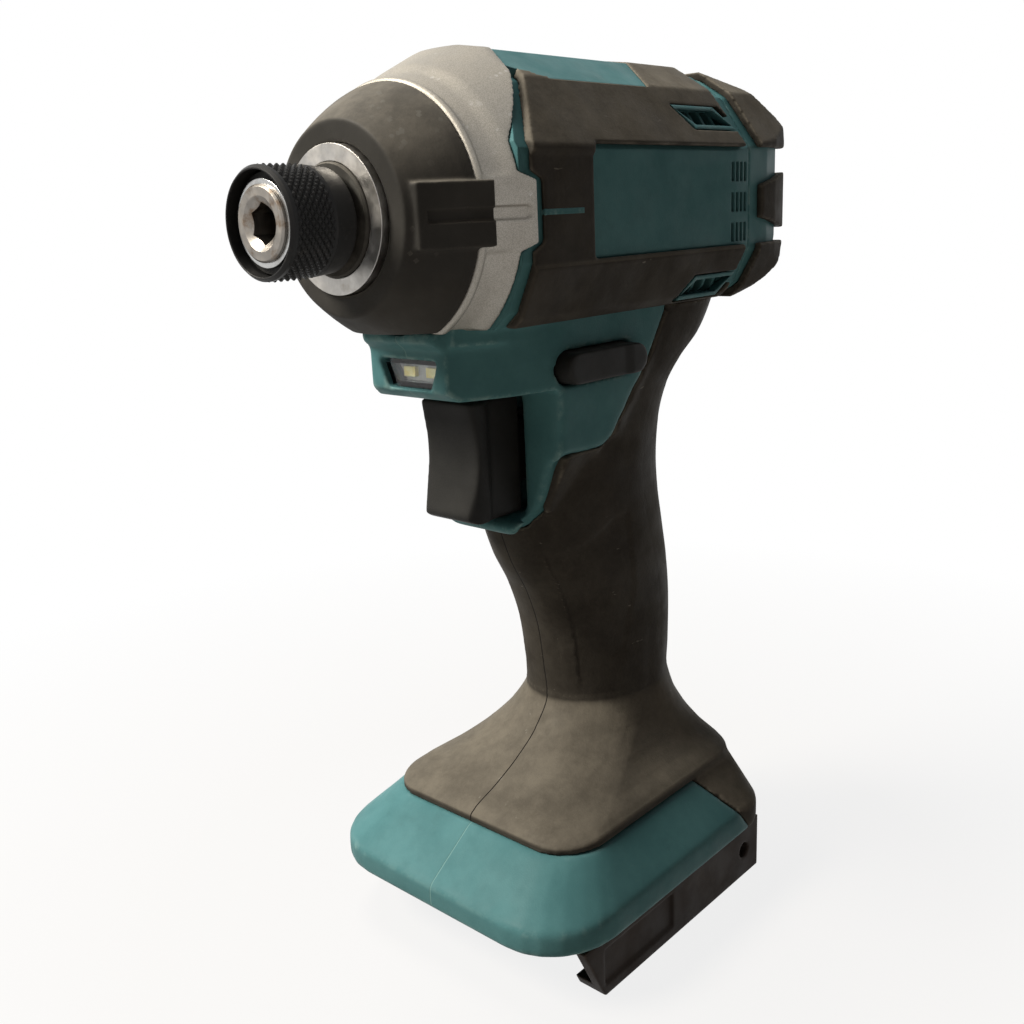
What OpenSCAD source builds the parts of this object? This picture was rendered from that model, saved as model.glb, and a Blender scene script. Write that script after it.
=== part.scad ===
// Compact cordless impact driver, bare tool without its battery.
// X runs along the drive axis towards the bit, Y to the left of the tool, Z up.
// The origin is under the middle of the tool, level with the underside of the battery rails.

/* [Tool] */
// Length from the rear cover to the front of the bit sleeve
tool_len = 137; // [135:0.5:141]
// Height of the drive axis above the underside of the rails
axis_z = 165; // [163:0.5:168]
// Thickness of the soft overmould
skin = 1.6; // [1.4:0.1:1.8]
// Wall of the moulded plastic shells
wall = 2.4; // [2.2:0.1:2.6]

/* [Head] */
// Width of the head over the overmould
head_w = 57; // [56:0.5:60]
// Drive axis to the top of the head
head_rise = 32; // [31:0.5:34]
// Drive axis to the lower edge of the head
head_drop = 23; // [22.5:0.5:24]
// Length of the rear cover
rear_cover_len = 20; // [19:0.5:21]
// Width of the teal rim left bare along the seam
seam_rim = 2.6; // [2:0.1:3]
// Length of the silver cover at the side, from bumper to seam
cover_len = 7.6; // [7:0.1:8]
// Length of the tab that the silver cover has at each side
tab_len = 3.2; // [2.5:0.1:3.5]
// Height of that tab
tab_h = 11; // [10:0.5:12]

/* [Nose] */
// Radius of the bit sleeve
sleeve_r = 10; // [9.8:0.1:10.3]
// Length of the bit sleeve
sleeve_len = 14.5; // [14:0.1:15]
// Radius of the bare metal ring of the hammer case
ring_r = 13.4; // [13:0.1:13.8]
// How far that ring stands proud of the bumper
ring_proud = 1.4; // [1:0.1:1.8]
// Length of the nose bumper
bumper_len = 12; // [11.5:0.1:12.5]
// Radius of the nose bumper at its rear edge
bumper_r = 24.4; // [24:0.1:25]
// Radius of the flat front of the nose bumper
bumper_front_r = 17.6; // [17:0.1:18.5]
// Distance across the flats of the bit socket
hex_af = 6.35; // [6.35:0.05:6.45]
// Depth of the bit socket
hex_depth = 25; // [24:0.5:26]
// Pull of the bit sleeve
sleeve_travel = 4.5; // [4:0.1:4.8]

/* [Drive] */
// Module of the planetary gears
gear_module = 0.75; // [0.75:0.01:0.77]
// Radius of the hammer
hammer_r = 17.5; // [17:0.1:17.8]
// Length of the hammer without its jaws
hammer_len = 16; // [15.5:0.1:16.5]
// How far the hammer backs off against its spring
hammer_travel = 8; // [7:0.1:8.2]
// Radius of the spindle shaft
spindle_r = 7.5; // [7.3:0.1:7.7]
// Length of the toothed part of the ring gear
gear_w = 7; // [6.5:0.1:7.5]

/* [Motor] */
// Outer radius of the motor yoke
yoke_r = 18.5; // [18:0.1:18.6]
// Length of the motor yoke
yoke_len = 21; // [20:0.5:21]
// Radius of the armature core
core_r = 12.2; // [12:0.1:12.4]
// Radius of the motor shaft
shaft_r = 2.5; // [2.4:0.05:2.6]

/* [Handle] */
// Front to back size that the handle's sections follow
handle_depth = 48; // [46:0.5:50]
// Width of the handle at the middle finger
handle_w = 34; // [33:0.5:36]
// Width of the housing beside the trigger
neck_w = 39; // [38:0.5:40]
// Width of the trigger
trigger_w = 15.6; // [15:0.1:16]
// Travel of the trigger
trigger_travel = 6.5; // [6:0.1:6.8]
// Length of the direction lever along the tool
lever_len = 26; // [25:0.5:27]
// Height of the direction lever
lever_h = 6.5; // [6.2:0.1:6.8]
// Side step of the direction lever, from the middle to each end
lever_travel = 3; // [2.5:0.1:3.2]

/* [Foot] */
// Length of the foot
foot_len = 83.4; // [82:0.2:86]
// Width of the foot
foot_w = 77.4; // [76:0.2:79]
// Height of the battery rails
rail_h = 14.3; // [14:0.1:14.8]
// Height of the lower edge of the overmould flange on the foot
flange_z = 30; // [29:0.2:31]
// Width of each battery rail over its lip
rail_w = 7.5; // [7:0.1:8]

/* [Fits] */
// Running clearance of shafts and bores
run_gap = 0.05; // [0.04:0.01:0.08]
// Clearance between fixed pieces
seat_gap = 0.1; // [0.08:0.01:0.15]
// Clearance around pieces that slide
slide_gap = 0.35; // [0.3:0.05:0.4]

/* [Hidden] */
$fn = 96;

// Overrun of every cut
over = 1;
front_x = tool_len / 2;
rear_x = -tool_len / 2;

// Nose, measured back from the front of the sleeve
sleeve_back = front_x - sleeve_len;
sleeve_clear = 2;
ring_face = sleeve_back - sleeve_clear;
bumper_front = ring_face - ring_proud;
bumper_back = bumper_front - bumper_len;
seam_x = bumper_back - cover_len;
seam_slant = 13;
seam_top_x = seam_x - seam_slant;
anvil_recess = 0.6;
anvil_tip = front_x - anvil_recess;
anvil_nose_r = 6.6;
socket_mouth_r = 4.7;
socket_mouth = 1.1;
sleeve_bore_r = 9;
sleeve_edge = 0.6;
washer_t = 0.8;
snap_t = 0.8;
snap_depth = 0.4;
snap_r = 7.5;
snap_x = anvil_tip - 2 * snap_t - seat_gap;
washer_x = snap_x - washer_t - seat_gap;
washer_r = sleeve_bore_r - slide_gap;
spring_wire = 0.8;
sleeve_turns = 2;
// The closed coils of the sleeve spring still fit when the sleeve is pulled
land_len = washer_x - sleeve_back - sleeve_travel - (sleeve_turns + 1) * spring_wire - slide_gap;
ball_r = 1.75;
ball_x = sleeve_back + land_len / 2;
ball_centre_r = anvil_nose_r - ball_r;

// Hammer case and the striking pieces
case_wall = 2.4;
hammer_clear = 0.7;
case_inner_r = hammer_r + hammer_clear;
case_r = case_inner_r + case_wall;
case_back_r = 23.6;
bush_r = 9.4;
anvil_r = 7;
bush_len = 14;
bush_front = ring_face - anvil_recess;
bush_back = bush_front - bush_len;
thrust_gap = 0.3;
lug_len = 4.8;
lug_r = 16.4;
lug_hub_r = 8.2;
lug_half = 14;
lug_front = bush_back - thrust_gap;
lug_back = lug_front - lug_len;
jaw_half = 20;
jaw_inner_r = 8.8;
jaw_inset = 0.3;
jaw_slack = 1.5;
lug_angle = 90 - jaw_half - lug_half - jaw_slack;
hammer_gap = 0.6;
hammer_front = lug_back - hammer_gap;
hammer_back = hammer_front - hammer_len;
jaw_len = lug_len;
pilot_r = 3.55;
pilot_len = 5;
spring_in_r = 11;
spring_out_r = 15;
spring_pocket = 9.5;
hammer_wire = 2.2;
hammer_turns = 4;
cam_r = 2.2;
cam_slot_w = 2 * (cam_r + slide_gap);
cam_x = hammer_front - hammer_travel - cam_slot_w / 2 - over;
flange_t = 3.8;
washer_seat_t = 1;
// The hammer's rear face stops just short of the spring washer at the end of its travel
flange_front = hammer_back - hammer_travel - slide_gap - washer_seat_t;
flange_back = flange_front - flange_t;
flange_r = 16.8;
pin_r = 2.2;

// Planetary gears: sun on the motor, two planets on the spindle, fixed ring
sun_teeth = 9;
planet_teeth = 21;
ring_teeth = 51;
pressure_angle = 25;
addendum_share = 0.8;
dedendum_share = 1;
thinning_share = 0.16;
flank_points = 4;
planet_orbit = gear_module * (sun_teeth + planet_teeth) / 2;
ring_rim = 2.2;
ring_gear_r = gear_module * ring_teeth / 2 + gear_module * dedendum_share + ring_rim;
gear_front = flange_back - slide_gap;
gear_back = gear_front - gear_w;
planet_w = gear_w - 2 * slide_gap;
bearing_outer_r = 14;
bearing_w = 4;
small_bearing_r = 8;
race_t = 1.5;
carrier_t = 2.2;
carrier_back = gear_back - carrier_t;
carrier_bridge = 4.4;
hub_r = 9;
hub_back = carrier_back - bearing_w - slide_gap;
spindle_bore_r = 5.2;
plate_front = carrier_back - slide_gap;
plate_lip = 1.6;
front_bearing_front = hub_back - slide_gap;
front_bearing_back = front_bearing_front - bearing_w;
plate_back = front_bearing_back - plate_lip;
case_back = hub_back - slide_gap - plate_lip;

// Motor, measured forward from the rear cover
rear_bearing_back = rear_x + skin + wall;
rear_bearing_front = rear_bearing_back + bearing_w;
commutator_back = rear_bearing_front + wall;
commutator_len = 6.5;
commutator_r = 6.5;
winding_r = 11;
winding_t = 4;
yoke_back = rear_x + rear_cover_len + slide_gap;
yoke_front = yoke_back + yoke_len;
core_back = yoke_back + winding_t;
core_front = yoke_front - winding_t;
yoke_t = 1.8;
air_gap = 0.6;
fan_gap = 1.4;
fan_back = yoke_front + fan_gap;
fan_front = plate_back - fan_gap;
fan_r = 17.4;
fan_hub_r = 6;
fan_blades = 11;
fan_blade_t = 1.2;
fan_plate_t = 1.2;
shaft_front = gear_front - slide_gap;
pinion_bore_r = 1.75;
pinion_back = gear_back - slide_gap;
slots = 5;
slot_w = 3;
slot_depth = 5;
brush_w = 4;
brush_l = 5;
brush_h = 3;
brush_gap = 0.15;
brush_wall = 1.2;
holder_t = 2;
holder_r = 12.8;
holder_back = commutator_back + commutator_len / 2 - brush_l / 2 - brush_wall;

// Handle, neck and foot
foot_setback = 1.3;
foot_front = foot_len / 2 - foot_setback;
foot_back = foot_front - foot_len;
handle_top = axis_z - head_drop;
handle_rise = handle_top - flange_z;
chin_top = axis_z - head_drop + skin;
chin_rise = 14;
chin_base = chin_top - chin_rise;
neck_top = axis_z - head_drop / 2;
trigger_h = 26;
trigger_top = chin_base - slide_gap - wall / 2;
trigger_base = trigger_top - trigger_h;
trigger_front = 27;
trigger_back = 11.5;
shank_len = 5.5;
shank_w = 11;
shank_h = 14;
shank_back = trigger_back - shank_len;
shank_bore_r = 4;
plunger_r = 1.8;
plunger_len = 14;
trigger_wire = 0.9;
trigger_turns = 4;
trigger_axis_z = trigger_base + trigger_h / 2;
switch_front = shank_back - trigger_travel - slide_gap;
switch_len = 22;
switch_w = 19;
switch_h = 22;
switch_back = switch_front - switch_len;
switch_base = trigger_axis_z - switch_h / 2;
lever_z = chin_base + lever_h - wall;
lever_x = 0;
lever_half = neck_w / 2 + lever_travel + slide_gap;
led_w = 16.6;
led_h = 5.6;
led_taper = 2.3;
led_z = chin_base + wall;
led_setback = 3.8;
led_front = bumper_back - led_setback;
led_depth = 3.4;
led_board_t = 1.6;
led_chip = 3.2;
led_chip_t = 1;
led_pitch = 6.4;
rail_wall = 3;
rail_lip = 2.6;
rail_inset = 2.2;
rail_y = foot_w / 2 - rail_inset;
rail_gap = 2 * (rail_y - rail_w);
rail_hole_r = 2;
panel_depth = 0.7;
block_len = 30;
block_w = 40;
block_h = 9;
blade_t = 0.8;
blade_len = 15;
blade_h = 6;
blade_pitch = 13;
lead_r = 0.8;
lead_y = 10.4;
lead_pitch = 5;
lead_bend = 7;
screw_r = 1.5;
screw_head_r = 3;
screw_head_t = 2;
boss_r = 3.6;

// Shares of the head's length, rise and drop, from the rear
head_side_shares = [
  [1.03, 0.95], [0.81, 0.98], [0.37, 1], [0.21, 0.97], [0.08, 0.80], [0.023, 0.60], [0, 0.44],
  [0, -0.39], [0.023, -0.58], [0.08, -0.78], [0.17, -0.95], [0.25, -1], [1.03, -1]
];
// Shares of half the head's width, and of its rise and drop
head_front_shares = [
  [0, 1], [0.40, 0.94], [0.70, 0.76], [1, 0.36], [1, -0.42], [0.84, -0.85], [0.70, -1]
];
// Shares of the head's length and half its width
head_plan_shares = [[1.03, 1], [0.23, 1], [0.08, 0.95], [0, 0.86]];
// Plastic core of the handle: an oblong tube with round sides, leaning like the handle
core_half = 17.4;
core_w = 27;
core_lean = 7.8;
core_base_share = -0.495;
// Sections of the plastic foot: height between rail and flange, back, front, half width and corners
foot_shares = [
  [0, 0.985, 0.975, 0.985, 0.42, 0.26], [0.06, 1, 1, 1, 0.42, 0.26], [0.36, 1, 1, 1, 0.42, 0.26],
  [0.42, 0.997, 0.985, 0.99, 0.42, 0.26], [1, 0.98, 0.66, 0.775, 0.36, 0.26]
];
// Sections of the flare: height from flange to neck, back, front and half width of the foot, corners
flare_shares = [
  [0, 0.985, 0.655, 0.77, 0.36, 0.28], [0.07, 0.985, 0.655, 0.77, 0.36, 0.28],
  [0.13, 0.99, 0.62, 0.74, 0.40, 0.32], [0.26, 0.99, 0.44, 0.64, 0.52, 0.48],
  [0.44, 0.985, 0.24, 0.545, 0.68, 0.66], [0.68, 0.975, 0.06, 0.465, 0.85, 0.85]
];
// Sections of the handle: shares of its rise, of its depth behind and before the origin, of half its width
handle_shares = [
  [0.195, -0.867, -0.042, 0.94], [0.26, -0.883, -0.025, 0.95], [0.35, -0.888, 0.004, 0.97],
  [0.44, -0.875, 0.075, 0.99], [0.53, -0.846, 0.19, 1], [0.62, -0.812, 0.26, 1],
  [0.69, -0.80, 0.28, 1.01], [0.765, -0.812, 0.27, 1.035], [0.837, -0.865, 0.20, 1.07],
  [0.89, -0.958, 0.06, 1.11], [0.946, -1.125, -0.062, 1.165], [1.03, -1.27, -0.125, 1.22]
];
handle_corner_share = 0.97;
neck_rise_share = 0.195;

function head_len() = bumper_back - rear_x;
function head_z(share, inset) = share > 0 ? share * (head_rise - inset) : share * (head_drop - inset);
function head_x(share, inset) = rear_x + inset + share * (head_len() - inset);
function mirrored(points) = concat(
  points, [for (i = [len(points) - 1:-1:0]) if (points[i][0] > 0) [-points[i][0], points[i][1]]]
);
function flipped(points) = concat(points, [for (i = [len(points) - 1:-1:0]) [points[i][0], -points[i][1]]]);

// Half of a rounded oblong section, from its front on the split plane round the left to its back
corner_steps = 6;
function half_ring(back, front, half, corner, heel, z) =
  let (rx = corner * (front - back) / 2, ry = corner * half)
  let (hx = heel * (front - back) / 2, hy = heel * half)
  concat(
    [[front, 0, z]],
    [for (i = [0:corner_steps]) let (a = 90 * i / corner_steps)
      [front - rx + rx * cos(a), half - ry + ry * sin(a), z]],
    [for (i = [0:corner_steps]) let (a = 90 + 90 * i / corner_steps)
      [back + hx + hx * cos(a), half - hy + hy * sin(a), z]],
    [[back, 0, z]]
  );

foot_rings = [
  for (s = foot_shares) half_ring(
    s[1] * foot_back, s[2] * foot_front, s[3] * foot_w / 2, s[4], s[5],
    rail_h + s[0] * (flange_z - rail_h)
  )
];
flare_rings = [
  for (s = flare_shares) half_ring(
    s[1] * foot_back, s[2] * foot_front, s[3] * foot_w / 2, s[4], s[5],
    flange_z + s[0] * neck_rise_share * handle_rise
  )
];
handle_rings = [
  for (s = handle_shares) half_ring(
    s[1] * handle_depth, s[2] * handle_depth, s[3] * handle_w / 2,
    handle_corner_share, handle_corner_share, flange_z + s[0] * handle_rise
  )
];

// Solid between rings of equal length that start and end on the split plane
module loft(rings) {
  n = len(rings[0]);
  m = len(rings);
  sides = [
    for (i = [0:m - 2]) for (j = [0:n - 2]) each [
      [i * n + j, (i + 1) * n + j, (i + 1) * n + j + 1],
      [i * n + j, (i + 1) * n + j + 1, i * n + j + 1]
    ]
  ];
  base = [for (j = [0:n - 1]) j];
  top = [for (j = [n - 1:-1:0]) (m - 1) * n + j];
  split = [
    for (i = [0:m - 2]) each [
      [i * n + n - 1, (i + 1) * n + n - 1, (i + 1) * n],
      [i * n + n - 1, (i + 1) * n, i * n]
    ]
  ];
  polyhedron([for (r = rings) each r], concat(sides, split, [base, top]));
}

// Outline in the side view, drawn out across the tool
module across(points, from_y, to_y) {
  translate([0, to_y, 0])
    rotate([90, 0, 0])
      linear_extrude(to_y - from_y)
        polygon(points);
}

// Outline in the front view, drawn out along the tool
module along(points, from_x, to_x) {
  translate([from_x, 0, 0])
    rotate([90, 0, 90])
      linear_extrude(to_x - from_x)
        polygon(points);
}

// Solid of revolution about the drive axis, from points of radius and place
module turned(points) {
  translate([0, 0, axis_z])
    rotate([0, 90, 0])
      rotate_extrude()
        polygon(points);
}

module drum(from_x, to_x, r) {
  translate([from_x, 0, axis_z])
    rotate([0, 90, 0])
      cylinder(h = to_x - from_x, r = r);
}

module tube(from_x, to_x, r, bore) {
  turned([[bore, from_x], [r, from_x], [r, to_x], [bore, to_x]]);
}

module left_side() {
  translate([rear_x - over, 0, -over])
    cube([tool_len + 2 * over, foot_w, axis_z + head_rise + 2 * over]);
}

module right_hand() {
  mirror([0, 1, 0])
    children();
}

// Head envelope, drawn in by an inset from the outside of the overmould
module head_form(inset = 0) {
  side = [for (s = head_side_shares) [head_x(s[0], inset), axis_z + head_z(s[1], inset)]];
  half = head_w / 2 - inset;
  front = [for (s = mirrored(head_front_shares)) [s[0] * half, axis_z + head_z(s[1], inset)]];
  plan = [for (s = flipped(head_plan_shares)) [head_x(s[0], inset), s[1] * half]];
  intersection() {
    across(side, -head_w, head_w);
    along(front, rear_x - over, bumper_back + over);
    linear_extrude(axis_z + head_rise + over)
      polygon(plan);
  }
}

// Line of the seam behind the silver cover in the side view, from the top down
tab_slope = 1.6;
seam_bend_share = 0.38;
function seam_line(shift) = [
  [seam_top_x - shift, axis_z + head_rise + over],
  [seam_x - shift, axis_z + seam_bend_share * head_rise],
  [seam_x - shift, axis_z + tab_h / 2 + tab_slope],
  [seam_x - tab_len - shift, axis_z + tab_h / 2],
  [seam_x - tab_len - shift, axis_z - tab_h / 2],
  [seam_x - shift, axis_z - tab_h / 2 - tab_slope],
  [seam_x - shift, chin_top]
];
function behind_seam(shift) = concat(
  seam_line(shift), [[rear_x - over, chin_top], [rear_x - over, axis_z + head_rise + over]]
);
function before_seam(shift) = concat(
  seam_line(shift), [[front_x, chin_top], [front_x, axis_z + head_rise + over]]
);

// Slope of the cover and bumper, as a gain of radius along the tool
cone_slope_share = 0.45;
function cone_r(x, inset) = bumper_r - inset + cone_slope_share * (bumper_back - x);
cover_in_r = head_w / 2 - wall;

module case_cover() {
  color("silver")
    difference() {
      intersection() {
        head_form();
        across(before_seam(0), -head_w, head_w);
        turned([
          [0, seam_top_x - over], [cone_r(seam_top_x - over, 0), seam_top_x - over],
          [bumper_r, bumper_back], [0, bumper_back]
        ]);
      }
      turned([
        [0, seam_top_x - 2 * over], [cover_in_r, seam_top_x - 2 * over], [cover_in_r, seam_x],
        [bumper_r - wall, bumper_back], [bumper_r - wall, bumper_back + over],
        [0, bumper_back + over]
      ]);
    }
}

// Nose bumper: a convex cone with a grooved pad at each side
bumper_steps = 6;
bumper_bulge_share = 1.35;
pad_h = 11.5;
pad_proud = 0.8;
pad_front_share = 0.12;
groove_h = 1.8;
groove_front_share = 0.24;
function bumper_line(u) = bumper_front_r + (bumper_r - bumper_front_r) * (1 - pow(1 - u, bumper_bulge_share));
shoulder_x = bumper_back + case_wall / 2;
neck_case_x = bumper_front - case_wall - over;
neck_case_r = ring_r + case_wall;
cover_seat_r = bumper_r - wall - seat_gap;

module nose_bumper() {
  pad_x = bumper_front - pad_front_share * bumper_len;
  groove_x = bumper_front - groove_front_share * bumper_len;
  color("dimgray")
    difference() {
      union() {
        turned(concat(
          [[0, bumper_back], [0, bumper_front]],
          [for (i = [0:bumper_steps]) let (u = i / bumper_steps)
            [bumper_line(u), bumper_front - u * bumper_len]]
        ));
        translate([0, 0, axis_z - pad_h / 2])
          linear_extrude(pad_h)
            polygon([
              [bumper_back, -bumper_r - pad_proud], [bumper_back, bumper_r + pad_proud],
              [pad_x, bumper_line(pad_front_share) + pad_proud],
              [pad_x, -bumper_line(pad_front_share) - pad_proud]
            ]);
      }
      for (s = [-1, 1])
        translate([bumper_back - over, s * bumper_r - pad_proud, axis_z - groove_h / 2])
          cube([groove_x - bumper_back + over, 2 * pad_proud, groove_h]);
      turned([
        [0, bumper_back - over], [cover_seat_r + seat_gap, bumper_back - over],
        [cover_seat_r + seat_gap, shoulder_x + seat_gap],
        [neck_case_r + seat_gap, neck_case_x + seat_gap], [ring_r + seat_gap, neck_case_x + seat_gap],
        [ring_r + seat_gap, bumper_front + over],
        [0, bumper_front + over]
      ]);
      translate([bumper_back - over, -head_w, 0])
        cube([bumper_len, 2 * head_w, chin_top + seat_gap]);
    }
}

// Aluminium hammer case, whose turned nose ring shows in front of the bumper
ring_recess = 1.2;
ring_recess_r = sleeve_r + slide_gap;
module hammer_case() {
  color("lightgray")
    difference() {
      turned([
        [0, case_back], [case_back_r, case_back], [case_back_r, gear_front + case_wall],
        [case_r, gear_front + 2 * case_wall], [case_r, lug_back], [cover_seat_r, lug_front],
        [cover_seat_r, shoulder_x], [neck_case_r, neck_case_x], [ring_r, neck_case_x],
        [ring_r, ring_face], [0, ring_face]
      ]);
      drum(case_back - over, gear_front + seat_gap, ring_gear_r + seat_gap);
      drum(gear_front, bush_back, case_inner_r);
      drum(bush_back - over, bush_front, bush_r);
      drum(bush_front - over, ring_face + over, anvil_r + slide_gap);
      drum(ring_face - ring_recess, ring_face + over, ring_recess_r);
    }
}

module anvil_bush() {
  color("peru")
    tube(bush_back, bush_front, bush_r, anvil_r + run_gap);
}

// Sector of a ring about the drive axis, centred on an angle
module sector(from_x, to_x, r, bore, middle, half) {
  translate([from_x, 0, axis_z])
    rotate([middle, 0, 0])
      rotate([0, 90, 0])
        rotate([0, 0, 90 - half])
          rotate_extrude(angle = 2 * half)
            translate([bore, 0])
              square([r - bore, to_x - from_x]);
}

module anvil() {
  hex_r = hex_af / sqrt(3);
  groove_x = snap_x;
  color("gray")
    difference() {
      union() {
        turned([
          [0, lug_back], [lug_hub_r, lug_back], [lug_hub_r, lug_front], [anvil_r, lug_front],
          [anvil_r, bush_front + anvil_recess], [anvil_nose_r, bush_front + anvil_recess],
          [anvil_nose_r, groove_x], [anvil_nose_r - snap_depth, groove_x],
          [anvil_nose_r - snap_depth, groove_x + snap_t + seat_gap],
          [anvil_nose_r, groove_x + snap_t + seat_gap], [anvil_nose_r, anvil_tip - snap_depth],
          [anvil_nose_r - snap_depth, anvil_tip], [0, anvil_tip]
        ]);
        for (turn = [0, 180])
          sector(lug_back, lug_front, lug_r, lug_hub_r - over, lug_angle + turn, lug_half);
      }
      translate([anvil_tip - hex_depth, 0, axis_z])
        rotate([0, 90, 0])
          cylinder(h = hex_depth + over, r = hex_r, $fn = 6);
      turned([
        [0, anvil_tip - socket_mouth], [hex_af / 2, anvil_tip - socket_mouth],
        [socket_mouth_r, anvil_tip], [socket_mouth_r, anvil_tip + over], [0, anvil_tip + over]
      ]);
      drum(lug_back - over, lug_back + pilot_len, pilot_r + run_gap);
      for (s = [-1, 1])
        translate([ball_x, 0, axis_z])
          rotate([90 - s * 90, 0, 0])
            cylinder(h = anvil_nose_r + over, r = ball_r + run_gap);
    }
}

module bit_balls() {
  color("silver")
    for (s = [-1, 1])
      translate([ball_x, 0, axis_z + s * ball_centre_r])
        sphere(r = ball_r);
}

module bit_sleeve() {
  color("black")
    turned([
      [anvil_nose_r + run_gap, sleeve_back], [sleeve_r - sleeve_edge, sleeve_back],
      [sleeve_r, sleeve_back + sleeve_edge], [sleeve_r, front_x - sleeve_edge],
      [sleeve_r - sleeve_edge / 2, front_x], [sleeve_bore_r, front_x],
      [sleeve_bore_r, sleeve_back + land_len], [anvil_nose_r + run_gap, sleeve_back + land_len]
    ]);
}

module sleeve_washer() {
  color("black")
    tube(washer_x, washer_x + washer_t, washer_r, anvil_nose_r + run_gap);
}

module snap_ring() {
  color("dimgray")
    translate([snap_x + seat_gap / 2, 0, 0])
      tube(0, snap_t, snap_r, anvil_nose_r - snap_depth + run_gap);
}

// Coil spring along X: one unbroken tube of six sides
coil_rings = 8;
coil_sides = 6;
module coil(from_x, to_x, middle_r, wire, turns, axis_height) {
  steps = coil_rings * turns;
  rise = (to_x - from_x - wire) / steps;
  points = [
    for (i = [0:steps]) for (k = [0:coil_sides - 1])
      let (a = 360 * i / coil_rings, b = 360 * k / coil_sides, r = middle_r + wire / 2 * cos(b))
      [from_x + wire / 2 + rise * i + wire / 2 * sin(b), r * cos(a), axis_height + r * sin(a)]
  ];
  sides = [
    for (i = [0:steps - 1]) for (k = [0:coil_sides - 1])
      let (n = coil_sides, a = i * n + k, b = i * n + (k + 1) % n)
      each [[a, b, b + n], [a, b + n, a + n]]
  ];
  caps = [
    [for (k = [coil_sides - 1:-1:0]) k],
    [for (k = [0:coil_sides - 1]) steps * coil_sides + k]
  ];
  polyhedron(points, concat(sides, caps));
}

module sleeve_spring() {
  middle = (sleeve_bore_r + anvil_nose_r) / 2;
  back = sleeve_back + land_len + seat_gap;
  color("silver")
    coil(back, washer_x - seat_gap, middle, spring_wire, sleeve_turns, axis_z);
}

module hammer() {
  pocket_r = spring_out_r + slide_gap;
  jaw_r = hammer_r - jaw_inset;
  color("darkslategray")
    difference() {
      union() {
        tube(hammer_back, hammer_front, hammer_r, spindle_r + run_gap);
        for (turn = [90, 270])
          sector(hammer_front - over, hammer_front + jaw_len, jaw_r, jaw_inner_r, turn, jaw_half);
      }
      tube(hammer_back - over, hammer_back + spring_pocket, pocket_r, spring_in_r - slide_gap);
      translate([cam_x - cam_slot_w / 2, -cam_slot_w / 2, axis_z - spindle_r - cam_slot_w / 2])
        cube([hammer_travel + cam_slot_w, cam_slot_w, 2 * spindle_r + cam_slot_w]);
    }
}

module hammer_spring() {
  color("silver")
    coil(
      flange_front + washer_seat_t + seat_gap, hammer_back + spring_pocket - seat_gap,
      (spring_in_r + spring_out_r) / 2, hammer_wire, hammer_turns, axis_z
    );
}

module spring_washer() {
  color("gray")
    tube(flange_front, flange_front + washer_seat_t, spring_out_r, spindle_r + seat_gap);
}

module spindle() {
  bridge_len = flange_back - gear_back + 2 * over;
  color("slategray")
    difference() {
      union() {
        turned([
          [0, hub_back], [hub_r, hub_back], [hub_r, carrier_back], [flange_r, carrier_back],
          [flange_r, gear_back], [0, gear_back]
        ]);
        turned([
          [0, flange_back], [flange_r, flange_back], [flange_r, flange_front],
          [spindle_r, flange_front], [spindle_r, hammer_front - hammer_gap],
          [pilot_r, hammer_front - hammer_gap], [pilot_r, lug_back + pilot_len - hammer_gap],
          [0, lug_back + pilot_len - hammer_gap]
        ]);
        for (turn = [0, 180])
          translate([gear_back - over, 0, axis_z])
            rotate([turn, 0, 0])
              translate([0, -carrier_bridge, planet_orbit])
                cube([bridge_len, 2 * carrier_bridge, carrier_bridge]);
      }
      drum(hub_back - over, flange_back + over, spindle_bore_r);
      for (s = [-1, 1]) {
        translate([carrier_back - over, s * planet_orbit, axis_z])
          rotate([0, 90, 0])
            cylinder(h = flange_front - carrier_back + 2 * over, r = pin_r);
        translate([cam_x, 0, axis_z + s * spindle_r])
          sphere(r = cam_r + run_gap);
      }
    }
}

module cam_balls() {
  color("silver")
    for (s = [-1, 1])
      translate([cam_x, 0, axis_z + s * spindle_r])
        sphere(r = cam_r);
}

module planet_pins() {
  color("silver")
    for (s = [-1, 1])
      translate([carrier_back, s * planet_orbit, axis_z])
        rotate([0, 90, 0])
          cylinder(h = flange_front - carrier_back, r = pin_r);
}

// Involute gear outline; a tooth lies on the first axis
function involute(base, r) =
  let (a = r > base ? acos(base / r) : 0)
  tan(a) * 180 / PI - a;
function flank_angle(teeth, r, thin) =
  let (pitch = gear_module * teeth / 2, base = pitch * cos(pressure_angle))
  90 / teeth * (1 - thin) + involute(base, pitch) - involute(base, max(r, base));
function gear_outline(teeth, low, high, thin) =
  let (pitch = gear_module * teeth / 2)
  [
    for (i = [0:teeth - 1]) for (k = [0:2 * flank_points - 1])
      let (
        up = k < flank_points,
        u = (up ? k : 2 * flank_points - 1 - k) / (flank_points - 1),
        r = pitch + gear_module * (u * (high + low) - low),
        a = flank_angle(teeth, r, thin),
        turn = 360 * i / teeth + (up ? -a : a)
      )
      [r * cos(turn), r * sin(turn)]
  ];

// Gear body along X with its first tooth to the left
module gear(from_x, to_x, teeth) {
  translate([from_x, 0, 0])
    rotate([90, 0, 90])
      linear_extrude(to_x - from_x)
        polygon(gear_outline(teeth, dedendum_share, addendum_share, thinning_share));
}

module planet(side) {
  color("goldenrod")
    translate([0, side * planet_orbit, axis_z])
      difference() {
        gear(gear_back + slide_gap, gear_back + slide_gap + planet_w, planet_teeth);
        translate([gear_back, 0, 0])
          rotate([0, 90, 0])
            cylinder(h = gear_w + over, r = pin_r + run_gap);
      }
}

module planet_gear_1() {
  planet(1);
}

module planet_gear_2() {
  planet(-1);
}

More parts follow.
